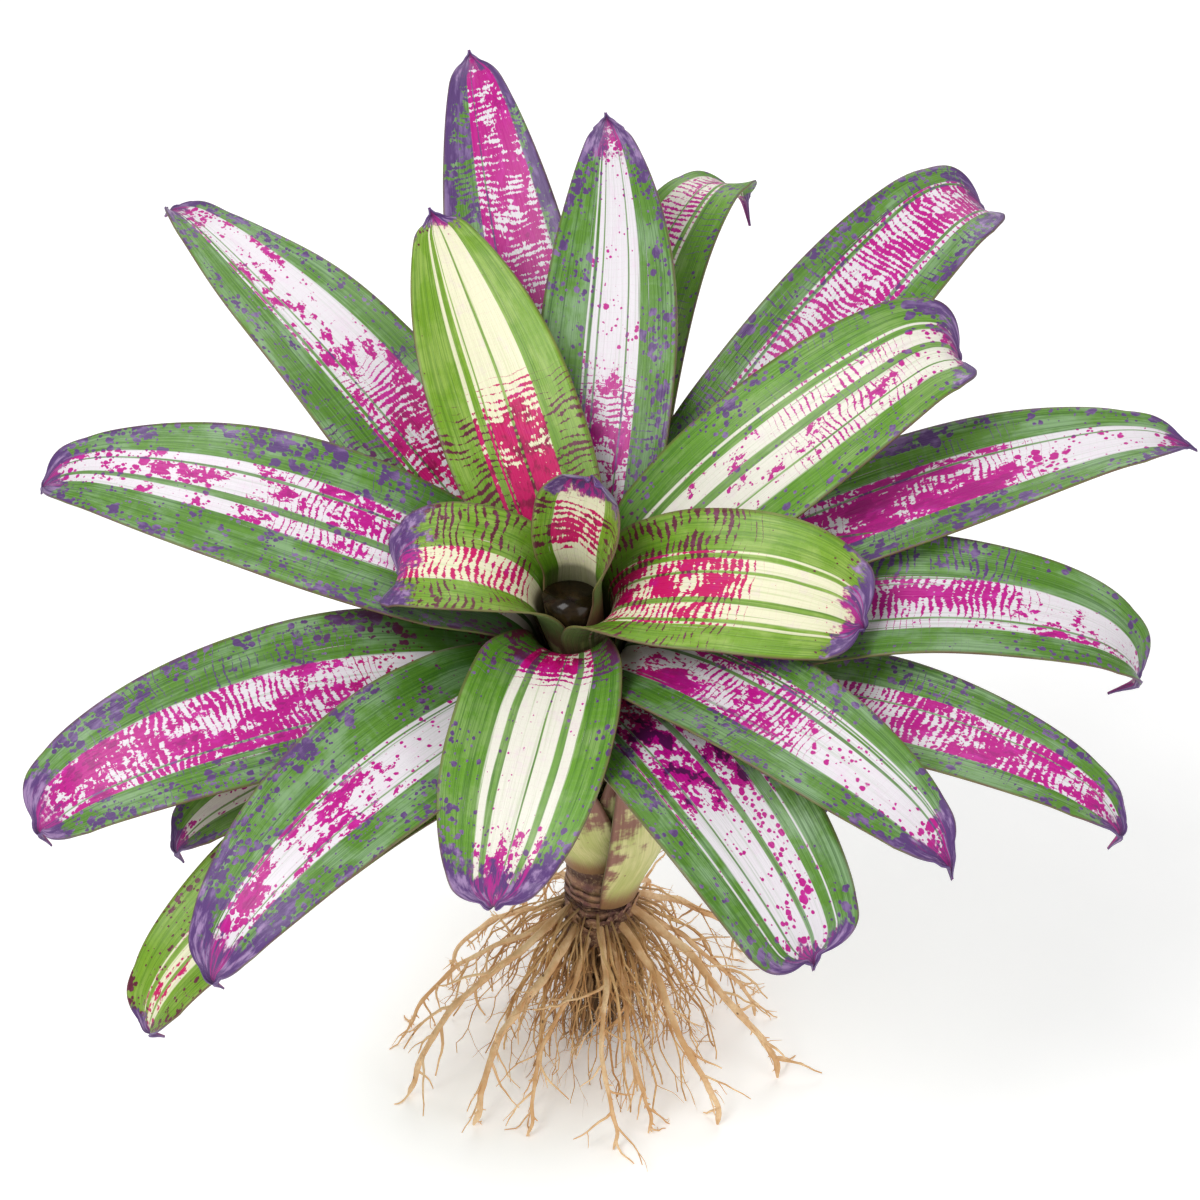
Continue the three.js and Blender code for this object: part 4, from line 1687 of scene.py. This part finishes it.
LEAF_LOOKS = (
    Variegation(FRESH, 0.22, 0.43, bars=Span(0.22, 0.62, 1.0), spots=0.12, freckled=0.15, tip=14,
                crimson=0.7, combed=0.6),
    Variegation(FRESH, 0, 0.3, ((0.32, 0.02),), (), Span(0.15, 0.95, 0.7), spots=0.15,
                freckled=0.25, tip=22, crimson=0.2, combed=0.4),
    Variegation(FRESH, -0.05, 0.42, ((-0.19, 0.045), (0.2, 0.02)), ((0.46, 0.015), (-0.55, 0.02)),
                Span(0.03, 0.56, 1.5), spots=0.2, freckled=0.2, tip=16, crimson=0.14, edging=0.1,
                combed=0.28, side=0.4),
    Variegation(FRESH, -0.08, 0.39, ((-0.05, 0.022), (0.26, 0.012)), ((0.44, 0.03),),
                Span(0.0, 0.46, 1.9), Span(0.02, 0.34, 1.3), spots=0.12, freckled=0.24, tip=13,
                crimson=0.42, murk=0.0, edging=0.1, combed=0.2, core=0.0),
    Variegation(MID, 0.04, 0.5, ((-0.3, 0.05), (0.36, 0.05), (0.1, 0.012)), (), Span(0.02, 0.2, 1.8),
                Span(0.7, 1.0, 0.75), spots=0.5, freckled=0.62, tip=24, crimson=0.16, murk=0.5,
                combed=0.5),
    Variegation(MID, -0.05, 0.45, ((0.08, 0.06), (-0.3, 0.015)), ((0.52, 0.02),), Span(0.55, 0.8, 0.35),
                Span(0.26, 0.95, 0.45), spots=0.6, freckled=0.7, tip=20, crimson=0.12),
    Variegation(RIPE, -0.1, 0.4, ((-0.35, 0.018), (0.03, 0.05)), (), Span(0.1, 0.5, 0.4),
                Span(0.16, 0.95, 0.62), spots=0.9, freckled=0.9, tip=24, crimson=0.1, edging=0.4),
    Variegation(RIPE, 0.02, 0.42, ((0.3, 0.03),), ((0.56, 0.02), (0.5, 0.008)), Span(0.3, 0.6, 0.55),
                Span(0.08, 0.6, 0.8), 2.4, 0.85, 0.85, 20, 0.18, 0.35, 0.25, 0.3),
    Variegation(RIPE, -0.07, 0.34, ((-0.24, 0.012), (0.18, 0.012)), ((0.34, 0.015),),
                Span(0.26, 0.4, 0.5), Span(0.1, 0.48, 0.85), 1.4, 0.78, 1.05, 30, 0.14, 0.05, 0.3, 0.3),
    Variegation(RIPE, 0.12, 0.3, ((0.3, 0.012),), ((-0.25, 0.025), (-0.19, 0.012)), Span(),
                Span(0.4, 1.0, 0.8), 2.2, 0.78, 0.85, 36, 0.2, 0.6),
    Variegation(RIPE, 0, 0.44, ((0.3, 0.02),), (), Span(0.1, 0.7, 0.5), Span(0.0, 0.72, 1.0), 2.8,
                1.05, 0.95, 18, 0.14, 0.35, 0.4, 0.2),
    Variegation(RIPE, -0.16, 0.42, ((0.1, 0.016),), ((0.34, 0.02),), Span(0.0, 0.46, 1.15),
                Span(0.26, 0.98, 0.66), 1.5, 0.62, 0.68, 24, 0.36, 0.4, 0.35, 0.3),
    Variegation(RIPE, 0, 0.44, ((0.12, 0.04), (-0.3, 0.012)), ((-0.56, 0.012), (0.6, 0.012)), Span(),
                Span(0.0, 0.58, 1.2), 1.9, 1.05, 0.62, 15, 0.22, 0.35, core=1.0),
    Variegation(RIPE, 0, 0.48, ((-0.38, 0.03),), ((0.56, 0.02),), Span(0.3, 1.0, 0.85),
                Span(0.45, 0.95, 0.4), 1.4, 0.6, 0.75, 24, 0.14, 0.4, 0.35, 0.24),
    Variegation(RIPE, 0.03, 0.46, ((0.34, 0.016),), (), Span(0.36, 0.82, 0.75), Span(0.2, 1.0, 0.85),
                1.8, 0.9, 0.85, 26, 0.3, 0.35, 0.35, core=0.4),
    Variegation(RIPE, -0.08, 0.42, ((-0.32, 0.02),), (), Span(0.2, 0.68, 1.3), Span(0.6, 1.0, 0.55),
                2.0, 0.62, 0.6, 16, 0.12, 0.3, 0.25, 0.24, side=0.9),
    Variegation(RIPE, -0.2, 0.53, ((0.16, 0.015),), (), Span(0.2, 1.0, 1.15), Span(0.25, 1.0, 0.62),
                1.6, 0.62, 0.95, 18, 0.14, 0.9, 0.7, 0.5),
    Variegation(MID, 0, 0.3, ((0.1, 0.03),), (), Span(), Span(0.6, 1.0, 0.5), 2.0, 0.6, 0.65, 16, 0.3),
    Variegation(RIPE, 0, 0.48, ((0.24, 0.015),), (), Span(0.42, 0.86, 0.95), Span(0.55, 1.0, 0.7),
                2.0, 0.95, 0.8, 20, 0.3, 0.35, 0.25, 0.1),
    Variegation(FRESH, 0.08, 0.24, ((0.1, 0.04),), ((-0.3, 0.02),), Span(), Span(0.5, 0.98, 0.6),
                3.0, 0.65, 0.68, 12, 0.2),
    Variegation(MID, 0.25, 0.42, ((0.1, 0.02),), ((-0.3, 0.03),), Span(0.5, 0.95, 0.6),
                Span(0.45, 1.0, 0.6), 1.6, 0.65, 0.7, 12, 0.3),
    Variegation(MID, 0, 0.3, (), (), Span(), Span(0.6, 1.0, 0.4), 2.0, 0.5, 0.55, 12, 0.3),
)

ROOT_FORMS = (
    RootForm(205, 210, 82, 108, 2.1),
    RootForm(228, 231, 76, 97, 2.3),
    RootForm(250, 247, 71, 90, 1.4),
    RootForm(270, 274, 80, 92, 1.5),
    RootForm(286, 286, 71, 84, 1.3),
    RootForm(306, 307, 78, 94, 2.2),
    RootForm(334, 334, 83, 97, 2.3),
    RootForm(0, 2, 76, 78, 1.5),
    RootForm(28, 33, 80, 90, 2.0),
    RootForm(66, 74, 75, 94, 1.8),
    RootForm(112, 115, 81, 92, 2.1),
    RootForm(150, 152, 76, 86, 1.6),
    RootForm(178, 184, 73, 96, 1.5),
)


# ---------------------------------------------------------------- studio


@dataclass(frozen=True)
class Lamp:
    """A soft square lamp: its place and its side in metres, and its power in watts."""

    name: str
    place: tuple[float, float, float]
    size: float
    power: float


@dataclass
class Studio:
    """The pale floor, the soft lamps and the camera, in metres and degrees."""

    target: tuple[float, float, float] = (0.0, -0.0352, 0.2787)
    distance: float = 1.3
    elevation: float = 34.0
    view: float = 23.0
    floor_size: float = 8.0
    floor_glow: float = 0.2
    paper: tuple[Colour, Colour] = (srgb(250, 250, 250), srgb(253, 253, 253))
    sky: float = 0.42
    lamps: tuple[Lamp, ...] = (
        Lamp("key", (-1.0, -0.9, 1.9), 1.1, 31),
        Lamp("fill", (1.6, -1.2, 1.3), 1.4, 12),
        Lamp("back", (0.3, 1.5, 1.7), 1.2, 14),
    )

    def floor(self) -> None:
        """Lays a wide pale floor."""
        shape = bmesh.new()
        bmesh.ops.create_grid(shape, x_segments=1, y_segments=1, size=self.floor_size / 2)
        mesh = bpy.data.meshes.new("floor")
        shape.to_mesh(mesh)
        shape.free()
        sheet = Sheet("floor_paper")
        tooth = sheet.cloud(sheet.position(), 30, 2)
        inputs = {
            "Base Color": sheet.mix(tooth, *self.paper),
            "Roughness": 0.9,
            "Specular IOR Level": 0.1,
            "Emission Color": WHITE,
            "Emission Strength": self.floor_glow,
        }
        mesh.materials.append(sheet.surface(inputs))
        floor = put("floor", mesh)

    def face(self, looker: bpy.types.Object, place: Vector) -> None:
        """Puts a lamp or the camera in its place and turns it to the plant."""
        way = Vector(self.target) - place
        looker.location = place
        looker.rotation_euler = way.to_track_quat("-Z", "Y").to_euler()

    def hang(self, lamp: Lamp) -> None:
        """Hangs a soft lamp that faces the plant.

        Args:
            lamp: its size, place and power.
        """
        data = bpy.data.lights.new(lamp.name, "AREA")
        data.size = lamp.size
        data.energy = lamp.power
        self.face(put(lamp.name, data), Vector(lamp.place))

    def camera(self) -> None:
        """Sets the camera."""
        data = bpy.data.cameras.new("camera")
        data.angle = math.radians(self.view)
        camera = put("camera", data)
        angle = math.radians(self.elevation)
        away = Vector((0, -math.cos(angle), math.sin(angle))) * self.distance
        self.face(camera, Vector(self.target) + away)
        bpy.context.scene.camera = camera

    def build(self) -> None:
        """Makes the studio."""
        scene = bpy.context.scene
        scene.view_settings.view_transform = "Standard"
        world = bpy.data.worlds.new("studio")
        world.use_nodes = True
        sky = world.node_tree.nodes["Background"]
        sky.inputs["Color"].default_value = WHITE
        sky.inputs["Strength"].default_value = self.sky
        scene.world = world
        self.floor()
        for lamp in self.lamps:
            self.hang(lamp)
        self.camera()


def main() -> None:
    """Builds the plant and the studio."""
    logging.basicConfig(level=logging.INFO, format="%(name)s: %(message)s")
    lean = Lean()
    Studio().build()
    Rosette(lean, LEAF_FORMS, LEAF_LOOKS, STEM_PROFILE).build()
    Stem(lean, STEM_PROFILE).build()
    CupWater(lean).build()
    RootSystem(ROOT_FORMS).build()
    bpy.context.view_layer.update()


if __name__ == "__main__":
    main()
